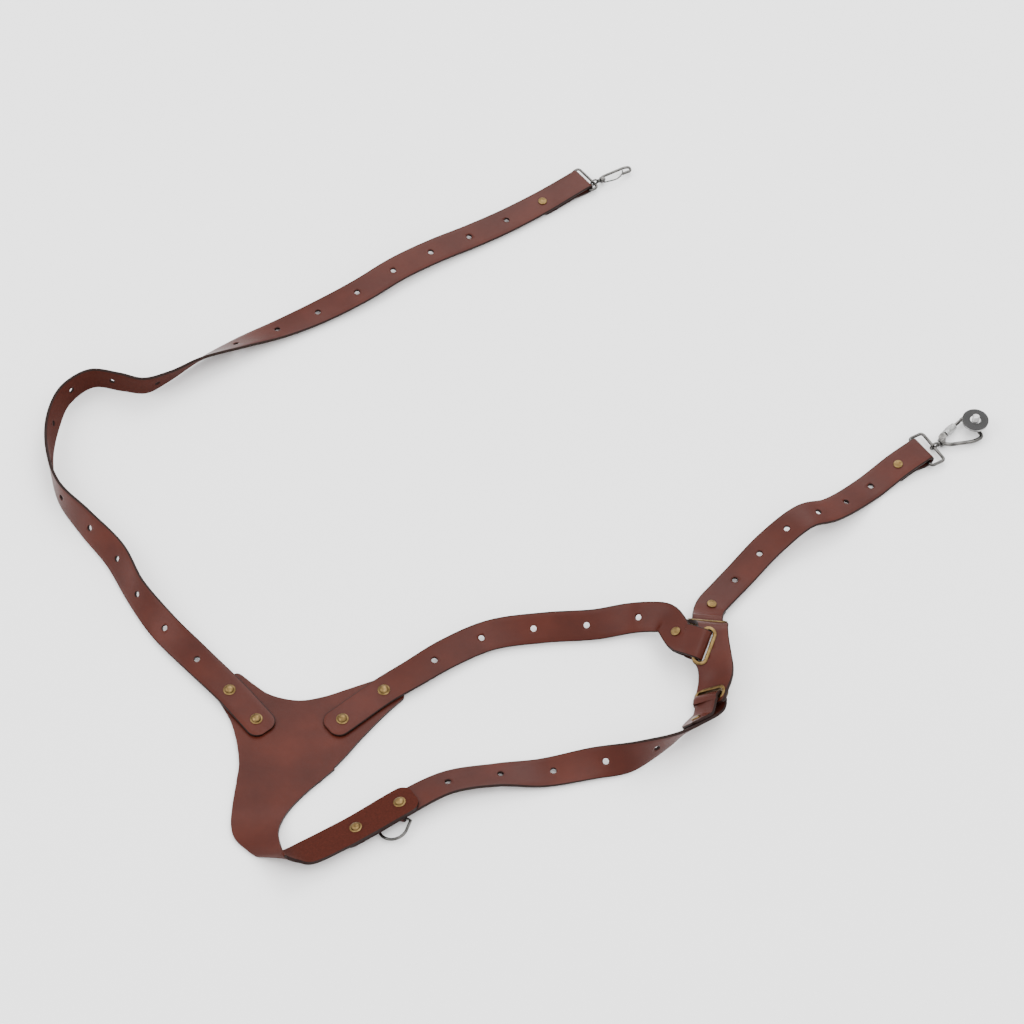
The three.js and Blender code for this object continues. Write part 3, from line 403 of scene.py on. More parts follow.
def flesh_leather():
    material, nodes, links, shader = new_finish("flesh side of the leather")
    fibres = noise(nodes, links, 700, 6, 0.7)
    colour = ramp(nodes, links, fibres, [
        (0.3, (0.028, 0.0044, 0.0020)),
        (0.7, (0.050, 0.0090, 0.0042)),
    ])
    links.new(colour, shader.inputs["Base Color"])
    set_inputs(shader, {"Roughness": 0.82, "Specular IOR Level": 0.12})
    links.new(bump(nodes, links, fibres, 0.45, 0.0006), shader.inputs["Normal"])
    return material


def edge_and_hole_shade_leather():
    material, nodes, links, shader = new_finish("rubbed edge and painted hole shade of the leather")
    layers = noise(nodes, links, 520, 4, 0.6)
    # Dark edge colour: the real burnished colour of the cut edges, and painted shade where the same
    # finish lines the punched holes.
    colour = ramp(nodes, links, layers, [
        (0.3, (0.006, 0.0022, 0.0016)),
        (0.72, (0.016, 0.0050, 0.0034)),
    ])
    links.new(colour, shader.inputs["Base Color"])
    links.new(spread(nodes, links, layers, 0.42, 0.6), shader.inputs["Roughness"])
    shader.inputs["Specular IOR Level"].default_value = 0.12
    links.new(bump(nodes, links, layers, 0.25, 0.0004), shader.inputs["Normal"])
    return material


LEATHER = [grain_leather(), flesh_leather(), edge_and_hole_shade_leather()]
print("leather finishes:", [m.name for m in LEATHER])


# %% Metal and rubber
def worn_metal(name, dark, bright, rough_low, rough_high, scale):
    material, nodes, links, shader = new_finish(name)
    stain = noise(nodes, links, scale, 5, 0.6)
    colour = ramp(nodes, links, stain, [(0.3, dark), (0.66, bright)])
    links.new(colour, shader.inputs["Base Color"])
    shader.inputs["Metallic"].default_value = 1.0
    fine = noise(nodes, links, scale * 6, 3)
    links.new(spread(nodes, links, fine, rough_low, rough_high), shader.inputs["Roughness"])
    links.new(bump(nodes, links, fine, 0.06, 0.0002), shader.inputs["Normal"])
    return material


def pad_rubber():
    material, nodes, links, shader = new_finish("moulded rubber of the pad")
    fine = noise(nodes, links, 1600, 3)
    colour = ramp(nodes, links, fine, [(0.3, (0.010, 0.010, 0.010)), (0.7, (0.026, 0.025, 0.025))])
    links.new(colour, shader.inputs["Base Color"])
    links.new(spread(nodes, links, fine, 0.55, 0.75), shader.inputs["Roughness"])
    links.new(bump(nodes, links, fine, 0.3, 0.0003), shader.inputs["Normal"])
    return material


OLD_BRASS = worn_metal("old brass", (0.075, 0.045, 0.016), (0.19, 0.125, 0.05), 0.3, 0.46, 240)
DARK_NICKEL = worn_metal("dark nickel", (0.035, 0.034, 0.032), (0.13, 0.125, 0.12), 0.16, 0.28, 120)
BRIGHT_STEEL = worn_metal("bright steel", (0.24, 0.24, 0.24), (0.45, 0.45, 0.44), 0.24, 0.38, 200)
PAD_RUBBER = pad_rubber()
print("metal finishes made")

# %% [markdown]
# ## Leather bands
# A strap is a rounded rectangle carried along its route. The section has soft corners, so light
# catches the edge as it does on rubbed leather. Faces on top take the grain finish, faces below
# the flesh finish, and the corners the dark edge.

# %% Sweep a leather section along stations
FACE_POINTS = 7
CORNER_POINTS = 4
GRAIN, FLESH, EDGE = 0, 1, 2


def section_points(left, right, thick):
    """Points of one section as (across, out), and the finish of the strip after each point."""
    r = min(EDGE_ROUND, thick * 0.45)
    points = []
    finish = []
    for across in np.linspace(left - r, -(right - r), FACE_POINTS):
        points.append((across, thick / 2))
        finish.append(GRAIN)
    finish[-1] = EDGE
    for a in np.linspace(90, -90, CORNER_POINTS + 2)[1:-1]:
        points.append((-(right - r) - r * math.cos(math.radians(a)),
                       (thick / 2 - r) * math.copysign(1, a) + r * math.sin(math.radians(a))))
        finish.append(EDGE)
    for across in np.linspace(-(right - r), left - r, FACE_POINTS):
        points.append((across, -thick / 2))
        finish.append(FLESH)
    finish[-1] = EDGE
    for a in np.linspace(-90, 90, CORNER_POINTS + 2)[1:-1]:
        points.append(((left - r) + r * math.cos(math.radians(a)),
                       (thick / 2 - r) * math.copysign(1, a) + r * math.sin(math.radians(a))))
        finish.append(EDGE)
    return points, finish


def mesh_object(name, verts, faces, finishes, materials, smooth_angle=50):
    mesh = bpy.data.meshes.new(name)
    mesh.from_pydata([tuple(v) for v in verts], [], faces)
    for material in materials:
        mesh.materials.append(material)
    mesh.polygons.foreach_set("material_index", finishes)
    mesh.polygons.foreach_set("use_smooth", [True] * len(faces))
    mesh.update()
    work = bmesh.new()
    work.from_mesh(mesh)
    bmesh.ops.recalc_face_normals(work, faces=work.faces)
    sharp = math.radians(smooth_angle)
    for edge in work.edges:
        if len(edge.link_faces) == 2 and edge.calc_face_angle(0) > sharp:
            edge.smooth = False
    work.to_mesh(mesh)
    work.free()
    piece = bpy.data.objects.new(name, mesh)
    bpy.context.scene.collection.objects.link(piece)
    return piece


def ring_faces(rings, sides, closed=False):
    """Faces between rings of points. A closed row of rings joins its last ring to its first."""
    faces = []
    for i in range(rings if closed else rings - 1):
        c = ((i + 1) % rings) * sides
        for k in range(sides):
            after = (k + 1) % sides
            faces.append((i * sides + k, i * sides + after, c + after, c + k))
    return faces


def ring_caps(rings, sides):
    return [tuple(range(sides)), tuple(range((rings - 1) * sides, rings * sides))]


def sweep_leather(name, stations, thick):
    """stations are (place, across, out, left, right, share of the thickness)."""
    verts = []
    for p, w, n, left, right, share in stations:
        points, finish = section_points(left, right, thick * share)
        verts += [p + w * a + n * b for a, b in points]
    sides = len(points)
    faces = ring_faces(len(stations), sides) + ring_caps(len(stations), sides)
    finishes = finish * (len(stations) - 1) + [EDGE, EDGE]
    return mesh_object(name, to_scene(verts), faces, finishes, LEATHER)


# %% Ends: cut with round corners, or folded back round a bar
END_STEPS = [0, 0.1, 0.3, 0.6, 1.0, 1.6, 2.4, 3.4, 4.6, 6.0, 7.5, 9.0]


def half_at(d, half, corner):
    if d >= corner:
        return half
    return half - corner + math.sqrt(corner ** 2 - (corner - max(d, 0)) ** 2)


def end_share(d):
    """The thickness left near a cut end, whose rim is rubbed round."""
    return min(1.0, 0.62 + 0.38 * math.sqrt(min(d / 0.7, 1.0)))


def smoothstep(x, low, high):
    x = min(max((x - low) / (high - low), 0), 1)
    return x * x * (3 - 2 * x)


def folded_tail(route, direction, half, thick, corner, fold):
    turn, start_closing, end_closing, tail = fold
    start = route.length if direction > 0 else 0.0
    p, t, w, n = route.at(start)
    bar = p - n * turn
    out = []
    for angle in np.linspace(0, math.pi, 17)[1:]:
        face = n * math.cos(angle) + t * (direction * math.sin(angle))
        out.append((bar + face * turn, w, face, half, half, 1.0))
    distances = list(np.arange(1.5, tail - corner / 2, 2.0))
    distances += [tail - d for d in reversed(END_STEPS) if d <= corner / 2]
    for d in distances:
        p, t, w, n = route.at(start - direction * d)
        part = smoothstep(d, start_closing, end_closing)
        apart = 2 * turn + (thick + GAP - 2 * turn) * part
        h = half_at(tail - d, half, corner / 2)
        out.append((p - n * apart, w, -n, h, h, end_share(tail - d)))
    return out


def leather_band(name, route, half, thick, corner, fold_start=None, fold_end=None, step=2.4):
    inner = [d for d in END_STEPS if d <= corner]
    distances = list(np.linspace(0, route.length, int(route.length / step)))
    if not fold_start:
        distances = inner + [d for d in distances if d > corner + 0.5]
    stations = []
    for d in distances:
        p, _, w, n = route.at(d)
        h = half
        share = 1.0
        if not fold_start:
            h = max(half_at(d, half, corner), half - 0.8 * corner)
            share = end_share(d)
        stations.append((p, w, n, h, h, share))
    if fold_end:
        stations += folded_tail(route, 1, half, thick, corner, fold_end)
    if fold_start:
        stations = folded_tail(route, -1, half, thick, corner, fold_start)[::-1] + stations
    return sweep_leather(name, stations, thick)


# %% [markdown]
# ## Holes
# A punch leaves a clean round hole. Blender's exact boolean cuts them all at once from the finished
# band. The cutter carries the dark edge finish, so the wall of each hole takes it as painted shade
# inside the hole.

# %% Punches
def prism(verts_2d, spot, low, high):
    """A cutter's points and faces: an outline in a frame's along and across, drawn along out."""
    p, t, w, n = spot
    count = len(verts_2d)
    verts = [p + t * x + w * y + n * z for z in (low, high) for x, y in verts_2d]
    faces = [tuple(range(count)), tuple(range(count, 2 * count))]
    faces += [(i, (i + 1) % count, count + (i + 1) % count, count + i) for i in range(count)]
    return verts, faces


def keep_modified_mesh(piece):
    graph = bpy.context.evaluated_depsgraph_get()
    piece_mesh = bpy.data.meshes.new_from_object(piece.evaluated_get(graph))
    piece.modifiers.clear()
    piece.data = piece_mesh


def cut_out(piece, prisms):
    verts = []
    faces = []
    for some_verts, some_faces in prisms:
        base = len(verts)
        verts += some_verts
        faces += [tuple(base + i for i in f) for f in some_faces]
    # The cutter's dark edge finish goes to each hole wall as painted shade inside the hole.
    cutter = mesh_object("punch", to_scene(verts), faces, [0] * len(faces), [LEATHER[EDGE]])
    modifier = piece.modifiers.new("punch", "BOOLEAN")
    modifier.object = cutter
    modifier.operation = "DIFFERENCE"
    modifier.solver = "EXACT"
    modifier.material_mode = "TRANSFER"
    keep_modified_mesh(piece)
    bpy.data.objects.remove(cutter)


def circle(radius, count=28):
    return [(radius * math.cos(a), radius * math.sin(a))
            for a in np.linspace(0, 2 * math.pi, count, endpoint=False)]


def punch_holes(piece, route, distances):
    cut_out(piece, [prism(circle(HOLE_DIAMETER / 2), route.at(d), -5, 5) for d in distances])


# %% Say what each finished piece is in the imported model
def settle(piece, node):
    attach(piece, body_of[node])
    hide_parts(node)
    return piece


SNAP_TURN = 2.4 / 2 + 0.5 + STRAP_THICK / 2
RING_TURN = 2.8 / 2 + 1.4 + STRAP_THICK / 2
bands = [
    ("long_strap", long_route, None, (SNAP_TURN, 1, 20, 51), LONG_HOLES),
    ("upper_shoulder_strap", upper_route, None, (STRAP_TURN, 5, 17, 32), UPPER_HOLES),
    ("lower_shoulder_strap", lower_route, None, (STRAP_TURN, 5.5, 18, 34), LOWER_HOLES),
    ("camera_strap", camera_route, (STRAP_TURN, 4.5, 14, 26), (RING_TURN, 1.5, 17, 34), CAMERA_HOLES),
]
for node, route, fold_start, fold_end, holes in bands:
    strap = leather_band(node + "_leather", route, STRAP_HALF, STRAP_THICK, STRAP_CORNER,
                         fold_start, fold_end)
    punch_holes(strap, route, holes)
    settle(strap, node)
    print(node, "faces:", len(strap.data.polygons))

# %% [markdown]
# ## Connector
# The connector is a thicker band whose edges swing in and out. It is swept like a strap, with its
# own reach to each side, and its three slots are cut straight through it. Each slot is lined with
# a rolled brass eyelet and has a flat washer behind.

# %% Connector leather
def slot_outline(grow):
    """A slot's outline in its frame: along is its width and across is its length."""
    r = SLOT_WIDTH / 2 + grow
    half = SLOT_LENGTH / 2 - SLOT_WIDTH / 2
    points = [(r * math.cos(a), half + r * math.sin(a)) for a in np.linspace(0, math.pi, 13)]
    points += [(-r * math.cos(a), -half - r * math.sin(a)) for a in np.linspace(0, math.pi, 13)]
    return points


def connector_leather():
    start = connector_route.knots[2] - MARGIN_EDGE
    end = connector_route.knots[10] + MARGIN_EDGE
    stations = []
    steps = [d for d in END_STEPS if d <= 3]
    distances = [start + d for d in steps] + list(np.linspace(start + 4, end - 4, 44))
    distances += [end - d for d in reversed(steps)]
    for s in distances:
        p, _, w, n = connector_route.at(s)
        inside = min(s - start, end - s)
        trim = half_at(inside, 0, 3)
        left = connector_route.column(s, 4) + trim
        right = connector_route.column(s, 5) + trim
        stations.append((p, w, n, left, right, end_share(inside)))
    return sweep_leather("connector_leather", stations, CONNECTOR_THICK)


connector = connector_leather()
cut_out(connector, [prism(slot_outline(EYELET_WALL + GAP), slot, -9, 9) for slot in SLOTS.values()])
settle(connector, "connector")
print("connector faces:", len(connector.data.polygons))

# %% Eyelets and washers
def slot_rim(name, profile, spot):
    """A closed profile of (outwards, out of the face) carried round the slot."""
    p, t, w, n = spot
    verts = []
    for outwards, out in profile:
        ring = slot_outline(outwards)
        verts += [p + t * x + w * y + n * out for x, y in ring]
    faces = ring_faces(len(profile), len(ring), closed=True)
    return mesh_object(name, to_scene(verts), faces, [0] * len(faces), [OLD_BRASS], 40)


REACH = CONNECTOR_THICK / 2 + GAP
EYELET_PROFILE = [
    (0, -REACH - 0.6), (0, REACH - 0.1), (0.12, REACH + 0.45), (0.5, REACH + 0.75),
    (1.1, REACH + 0.8), (2.3, REACH + 0.62), (2.85, REACH + 0.3), (2.9, REACH + 0.05),
    (2.6, REACH), (EYELET_WALL, REACH), (EYELET_WALL, -REACH - 0.6), (0.4, -REACH - 0.7),
]
WASHER_PROFILE = [
    (EYELET_WALL + GAP, -REACH - 0.65), (EYELET_WALL + GAP, -REACH), (EYELET_FLANGE - 0.1, -REACH),
    (EYELET_FLANGE, -REACH - 0.2), (EYELET_FLANGE - 0.15, -REACH - 0.7),
]
for name, slot in SLOTS.items():
    for part, profile in (("eyelet", EYELET_PROFILE), ("washer", WASHER_PROFILE)):
        node = f"{name}_slot_{part}"
        settle(slot_rim(node + "_brass", profile, slot), node)
print("slots lined:", len(SLOTS))

# %% [markdown]
# ## Yoke
# The yoke is one hide: a flat Y and a long lower arm that rolls over and comes back on top of the
# lower strap. The flat part is an outline drawn up to its thickness, the arm is a swept band, and
# a union makes them one piece. A bevel then rubs the whole edge round.

# %% Yoke leather
def curve_through(points, per=8):
    rows = [[x, y, 0] for x, y in points]
    return [tuple(r[:2]) for r in smooth_rows(rows, per)]


def rounded(start, corner, end):
    """A quadratic turn past a corner, without its first point."""
    start, corner, end = np.array([start, corner, end], float)
    return [tuple((1 - f) ** 2 * start + 2 * f * (1 - f) * corner + f ** 2 * end)
            for f in (0.25, 0.5, 0.75, 1)]


def yoke_outline():
    left = curve_through([(-214.7, -262), (-213.6, -247), (-217, -225), (-223, -206),
                          (-232.8, -188.5)])
    left_end = [(-237, -183.5)] + rounded((-237, -183.5), (-240.5, -179), (-236, -175.2))
    inner_end = [(-224.5, -164.5)] + rounded((-224.5, -164.5), (-220.5, -160.8), (-216.5, -164))
    crook = curve_through([(-216.5, -164), (-205.3, -173.7), (-192.8, -182.5), (-170, -188),
                           (-150, -184.5), (-133.2, -178.2)])[1:]
    tip = [(-106, -167.5)] + rounded((-106, -167.5), (-99, -163), (-95.5, -167.5))
    heel = [(-86.5, -181)] + rounded((-86.5, -181), (-84.5, -185), (-88.5, -188))
    right = curve_through([(-88.5, -188), (-99, -199), (-110.6, -212.8), (-121, -226),
                           (-130.9, -239.5), (-149.8, -262)])[1:]
    return left + left_end + inner_end + crook + tip + heel + right


def plain_sweep(name, stations, thick):
    """A band with square edges. stations are (place, across, out, half of the width)."""
    verts = []
    for p, w, n, half in stations:
        verts += [p + w * half + n * thick / 2, p + w * half - n * thick / 2,
                  p - w * half - n * thick / 2, p - w * half + n * thick / 2]
    faces = ring_faces(len(stations), 4) + ring_caps(len(stations), 4)
    return mesh_object(name, to_scene(verts), faces, [GRAIN] * len(faces), LEATHER)


def arm_frames():
    places = arm_rows[:, :3]
    along = np.gradient(places, axis=0)
    steps = np.linalg.norm(np.diff(places, axis=0), axis=1)
    to_end = np.append(np.cumsum(steps[::-1])[::-1], 0)
    out = []
    for p, t, reach, left in zip(places, along, arm_rows[:, 3:], to_end):
        w = unit(reach)
        half = np.linalg.norm(reach)
        out.append((p, w, unit(np.cross(t, w)), half_at(left, half, STRAP_CORNER)))
    return out


arm_stations = arm_frames()


def yoke_leather():
    outline = yoke_outline()
    flat = (np.array([0, 0, YOKE_LIFT]), np.array([1.0, 0, 0]), np.array([0, 1.0, 0]), UP)
    verts, faces = prism(outline, flat, 0, YOKE_THICK)
    plate = mesh_object("yoke_leather", to_scene(verts), faces, [0] * len(faces), LEATHER)
    arm = plain_sweep("yoke_arm", arm_stations, YOKE_THICK)
    join = plate.modifiers.new("join", "BOOLEAN")
    join.object = arm
    join.operation = "UNION"
    join.solver = "EXACT"
    weld = plate.modifiers.new("weld", "WELD")
    weld.merge_threshold = 0.00005
    rub = plate.modifiers.new("rub", "BEVEL")
    rub.width = 0.0007
    rub.segments = 3
    rub.limit_method = "ANGLE"
    rub.angle_limit = math.radians(50)
    rub.use_clamp_overlap = True
    rub.material = EDGE
    keep_modified_mesh(plate)
    bpy.data.objects.remove(arm)
    return plate


FLAT_ARM_END = -272


def finish_by_side(piece):
    """Grain above, flesh below and edge between, judged against the arm's own directions."""
    places = to_scene([p for p, _, _, _ in arm_stations])
    outs = [n for _, _, n, _ in arm_stations]
    plate_end = to_scene([0, FLAT_ARM_END, 0])[1]
    for face in piece.data.polygons:
        centre = np.array(face.center)
        out = UP
        if centre[1] < plate_end:
            out = outs[np.argmin(np.linalg.norm(places - centre, axis=1))]
        facing = float(np.dot(out, face.normal))
        face.material_index = GRAIN if facing > 0.6 else FLESH if facing < -0.6 else EDGE
        face.use_smooth = True


yoke = yoke_leather()
finish_by_side(yoke)
settle(yoke, "yoke")
print("yoke faces:", len(yoke.data.polygons))

# %% [markdown]
# ## Turned metal
# Rivets, studs and the camera plate are all turned on a lathe, so one spinning helper makes them:
# a profile of radius and height, carried round an axis that stands out of the leather.

# %% Spin a profile
def spun(name, profile, spot, material, count=40, sharp=35):
    p, t, w, n = spot
    verts = []
    faces = []
    rows = []
    for radius, height in profile:
        if radius < 1e-6:
            rows.append([len(verts)])
            verts.append(p + n * height)
            continue
        rows.append(list(range(len(verts), len(verts) + count)))
        for a in np.linspace(0, 2 * math.pi, count, endpoint=False):
            verts.append(p + t * (radius * math.cos(a)) + w * (radius * math.sin(a)) + n * height)
    for low, high in zip(rows, rows[1:]):
        for i in range(count):
            j = (i + 1) % count
            if len(low) == 1:
                faces.append((low[0], high[j], high[i]))
            elif len(high) == 1:
                faces.append((low[i], low[j], high[0]))
            else:
                faces.append((low[i], low[j], high[j], high[i]))
    return mesh_object(name, to_scene(verts), faces, [0] * len(faces), [material], sharp)


def dome(radius, seat, height, steps=9):
    """A domed head's outline from its rim to its crown."""
    points = []
    for a in np.linspace(0, 90, steps):
        a = math.radians(a)
        points.append((radius * math.cos(a) ** 0.8, seat + height * math.sin(a) ** 1.1))
    points[-1] = (0, seat + height)
    return points


# %% Rivets
STRAP_TOP = STRAP_THICK / 2
UNDER_YOKE = -STRAP_TOP - LAYER_GAP - YOKE_THICK
OVER_ARM = STRAP_TOP + LAYER_GAP + YOKE_THICK
TAB_THICK = 1.5
UNDER_TAB = -STRAP_TOP - LAYER_GAP - 2 * TAB_THICK - GAP


def add_rivet(name, spot, top, bottom):
    seat = top + 0.1
    cap = [(0, seat + 1.2), (1.25, seat + 1.2), (1.25, seat), (4.75, seat), (4.95, seat + 0.15)]
    cap += [(4.95, seat + 0.35), (4.6, seat + 0.62), (4.1, seat + 0.7)] + dome(3.9, seat + 0.75, 2.2)
    foot = bottom - 0.1
    post = [(0, foot - 0.85), (3.9, foot - 0.85), (4.25, foot - 0.6), (4.3, foot - 0.1), (4.1, foot),
            (1.5, foot), (1.5, top - 0.2), (0.95, top), (0.95, seat + 0.9), (0, seat + 0.9)]
    settle(spun(name + "_cap_brass", cap, spot, OLD_BRASS), name + "_cap")
    settle(spun(name + "_post_brass", post, spot, OLD_BRASS), name + "_post")


rivets = [("long", long_route, LONG_RIVETS, STRAP_TOP, [UNDER_YOKE] * 2),
          ("upper", upper_route, UPPER_RIVETS, STRAP_TOP, [UNDER_YOKE] * 2),
          ("lower", lower_route, LOWER_RIVETS, OVER_ARM, [-STRAP_TOP, UNDER_TAB])]
for strap, route, places, top, bottoms in rivets:
    for number, (place, bottom) in enumerate(zip(places, bottoms), 1):
        add_rivet(f"{strap}_strap_rivet_{number}", route.at(place), top, bottom)
print("rivets set:", 2 * len(rivets))


# %% Strap studs
def add_stud(name, spot, room=0.1):
    seat = STRAP_TOP + room
    back = -STRAP_TOP - GAP - STRAP_THICK
    cap = [(0, -0.4), (1.25, -0.4), (1.25, back), (2.1, back), (2.1, seat), (3.8, seat),
           (4.0, seat + 0.2), (4.0, seat + 0.55), (3.8, seat + 0.85), (3.3, seat + 1.05),
           (3.0, seat + 1.0), (2.7, seat + 1.12), (1.5, seat + 1.3), (0, seat + 1.38)]
    low = back - room
    screw = [(0, low - 1.0), (1.6, low - 1.0), (3.4, low - 1.0), (3.9, low - 0.7), (4.0, low - 0.2),
             (3.8, low), (0.95, low), (0.95, -0.8), (0, -0.8)]
    settle(spun(name + "_cap_brass", cap, spot, OLD_BRASS), name + "_cap")
    settle(spun(name + "_screw_brass", screw, spot, OLD_BRASS), name + "_screw")


add_stud("long_strap_stud", long_route.at(LONG_STUD))
add_stud("upper_strap_stud", upper_route.at(UPPER_STUD), 0.3)
add_stud("lower_strap_stud", lower_route.at(LOWER_STUD))
add_stud("camera_strap_stud_1", camera_route.at(CAMERA_START_STUD), 0.5)
add_stud("camera_strap_stud_2", camera_route.at(CAMERA_STUD))
print("studs set: 5")

# %% [markdown]
# ## Bent wire
# Rings, hooks and the carabiner are round wire, bent. A wire here is a row of places with a round
# section carried along it. The section never spins about the wire, so no twist shows.

# %% Wire
def world_of(spot, points):
    p, t, w, n = spot
    return [p + t * x + w * y + n * z for x, y, z in points]


def wire_mesh(spot, points, diameter, closed, sides=16, taper=None):
    places = np.array(world_of(spot, points), float)
    count = len(places)
    verts = []
    side = None
    for i in range(count):
        before = places[(i - 1) % count] if closed else places[max(i - 1, 0)]
        after = places[(i + 1) % count] if closed else places[min(i + 1, count - 1)]
        t = unit(after - before)
        if side is None:
            side = np.cross(t, UP) if abs(t[2]) < 0.9 else np.cross(t, [1.0, 0, 0])
        side = unit(side - t * (side @ t))
        other = np.cross(t, side)
        r = diameter / 2 * (taper[i] if taper is not None else 1)
        for a in np.linspace(0, 2 * math.pi, sides, endpoint=False):
            verts.append(places[i] + side * (r * math.cos(a)) + other * (r * math.sin(a)))
    faces = ring_faces(count, sides, closed)
    return verts, faces if closed else faces + ring_caps(count, sides)


def rounded_ends(places, diameter):
    """Adds short steps at both ends of a wire, and the taper that rounds them."""
    places = [np.array(p, float) for p in places]
    r = diameter / 2
    head = unit(places[0] - places[1])
    foot = unit(places[-1] - places[-2])
    steps = [0.0, 0.35, 0.65, 0.85]
    shares = [1.0, 0.94, 0.76, 0.5]
    start = [places[0] - head * r * 0.9 + head * r * s for s in reversed(steps)]
    end = [places[-1] - foot * r * 0.9 + foot * r * s for s in steps]
    taper = list(reversed(shares)) + [1.0] * (len(places) - 2) + shares
    return start + places[1:-1] + end, taper


def rounded_line(corners, radius, closed, arc=8):
    corners = [np.array(c, float) for c in corners]
    out = []
    count = len(corners)
    for i, here in enumerate(corners):
        if not closed and i in (0, count - 1):
            out.append(here)
            continue
        back = corners[i - 1] - here
        ahead = corners[(i + 1) % count] - here
        reach = min(radius, np.linalg.norm(back) * 0.45, np.linalg.norm(ahead) * 0.45)
        a = here + unit(back) * reach
        b = here + unit(ahead) * reach
        for f in np.linspace(0, 1, arc + 1):
            out.append((1 - f) ** 2 * a + 2 * f * (1 - f) * here + f ** 2 * b)
    return [np.array([x, y, 0.0]) for x, y in out]


def joined(name, meshes, material, sharp=35):
    verts = []
    faces = []
    for some_verts, some_faces in meshes:
        base = len(verts)
        verts += list(some_verts)
        faces += [tuple(base + i for i in f) for f in some_faces]
    return mesh_object(name, to_scene(verts), faces, [0] * len(faces), [material], sharp)


# %% [markdown]
# ## Ring on the yoke
# A D-shaped ring hangs in a short leather tab, which the last rivet clamps under the lower strap.

# %% Tab and D ring
TAB_REACH = 7.5
DEE_WIRE = 2.4
rivet_spot = lower_route.at(LOWER_RIVETS[1])
tab_base = shifted(rivet_spot, out=-(STRAP_TOP + LAYER_GAP + TAB_THICK / 2))
tab_heading = np.array([-0.35, -0.94, 0])
tab_heading = unit(tab_heading - tab_base[3] * (tab_heading @ tab_base[3]))
tab_spot = (tab_base[0], tab_heading, np.cross(tab_base[3], tab_heading), tab_base[3])
tab_route = Route([row_of(shifted(tab_spot, along)) for along in (-7, 0, TAB_REACH)])
DEE_TURN = DEE_WIRE / 2 + 0.3 + TAB_THICK / 2
tab = leather_band("ring_tab_leather", tab_route, 7, TAB_THICK, 3, None, (DEE_TURN, 0.5, 3, 14), 1.2)
settle(tab, "ring_tab")

bar_spot = shifted(tab_spot, TAB_REACH, 0, -DEE_TURN)
pitch = math.radians(6)
dee_t = tab_spot[1] * math.cos(pitch) - np.cross(tab_spot[2], tab_spot[1]) * math.sin(-pitch)
dee_spot = (bar_spot[0], unit(dee_t), tab_spot[2], np.cross(unit(dee_t), tab_spot[2]))
half = (25 - DEE_WIRE) / 2
depth = 23 - DEE_WIRE
dee_points = [(0, y, 0) for y in np.linspace(-half, half, 9)[1:-1]]
dee_points += [(0.35, half - 0.1, 0)]
dee_points += [(depth - half + half * math.cos(a), half * math.sin(a), 0)
               for a in np.linspace(math.pi / 2, -math.pi / 2, 33)]
dee_points += [(0.35, -half + 0.1, 0)]
dee_mesh = wire_mesh(dee_spot, dee_points, DEE_WIRE, True)
settle(joined("d_ring_metal", [dee_mesh], DARK_NICKEL), "d_ring")
print("ring on the yoke:", 2 * half + DEE_WIRE, "mm across")

# %% [markdown]
# ## Swivel eyes
# Both hooks hang on their rings by a small eye whose stem turns in the hook's collar. A round head
# behind the collar keeps it in.

# %% Helpers for eyes, rods and collars
def about_along(spot, profile, count):
    """Rings of points about the frame's own along direction, from (radius, distance) rows."""
    p, t, w, n = spot
    return [p + t * distance + w * (radius * math.cos(a)) + n * (radius * math.sin(a))
            for radius, distance in profile
            for a in np.linspace(0, 2 * math.pi, count, endpoint=False)]


def rod_mesh(spot, profile, count=28):
    faces = ring_faces(len(profile), count) + ring_caps(len(profile), count)
    return about_along(spot, profile, count), faces


def collar_mesh(spot, outer, inner, start, end, count=28):
    r = outer / 2
    q = inner / 2
    profile = [(q, start), (r - 0.4, start), (r, start + 0.4)]
    profile += [(r, end - 0.4), (r - 0.4, end), (q, end)]
    return about_along(spot, profile, count), ring_faces(len(profile), count, closed=True)


def swivel_eye(name, spot, inner, diameter, stem, head, collar):
    radius = (inner + diameter) / 2
    ring = [(radius * math.cos(a), 0, radius * math.sin(a))
            for a in np.linspace(0, 2 * math.pi, 40, endpoint=False)]
    behind = collar[1] + GAP
    parts = [
        wire_mesh(spot, ring, diameter, True),
        rod_mesh(spot, [(stem / 2 + 0.9, radius), (stem / 2 + 0.9, collar[0] - GAP - 0.3),
                        (stem / 2 + 0.6, collar[0] - GAP)]),
        rod_mesh(spot, [(stem / 2, radius), (stem / 2, behind)]),
        rod_mesh(spot, [(head / 2, behind), (head / 2, behind + 0.5), (head / 2 - 0.4, behind + 1)]),
    ]
    return joined(name, parts, DARK_NICKEL)


def strap_ring_piece(name, spot, across, depth, diameter):
    corners = [(0, -across / 2), (depth, -across / 2), (depth, across / 2), (0, across / 2)]
    line = rounded_line(corners, 3.4, True)
    return joined(name, [wire_mesh(spot, line, diameter, True)], DARK_NICKEL)


def spot_from(place, along, out):
    t = unit(along)
    w = unit(np.cross(out, t))
    return np.array(place, float), t, w, np.cross(t, w)


# %% Snap hook
snap_bar = shifted(long_route.at(long_route.length), out=-SNAP_TURN)
settle(strap_ring_piece("snap_ring_metal", snap_bar, 29, 8, 2.4), "snap_ring")
eye_place = shifted(snap_bar, 8.7, -8)[0]
snap_spot = spot_from(eye_place, [0.906, 0.423, -0.02], UP)
SNAP_COLLAR = (6.2, 10)
eye = swivel_eye("snap_eye_metal", snap_spot, 4.6, 1.7, 1.8, 3, SNAP_COLLAR)
settle(eye, "snap_eye")
spine = [(8.6, 2.4), (10.4, 3.4), (33.5, 5.6), (38.5, 4.2), (37.5, -0.6), (28, -0.9)]
line, taper = rounded_ends(rounded_line(spine, 4, False), 2.6)
hook_parts = [wire_mesh(snap_spot, line, 2.6, False, taper=taper),
              collar_mesh(snap_spot, 6, 2.4, *SNAP_COLLAR)]
settle(joined("snap_hook_metal", hook_parts, DARK_NICKEL), "snap_hook")
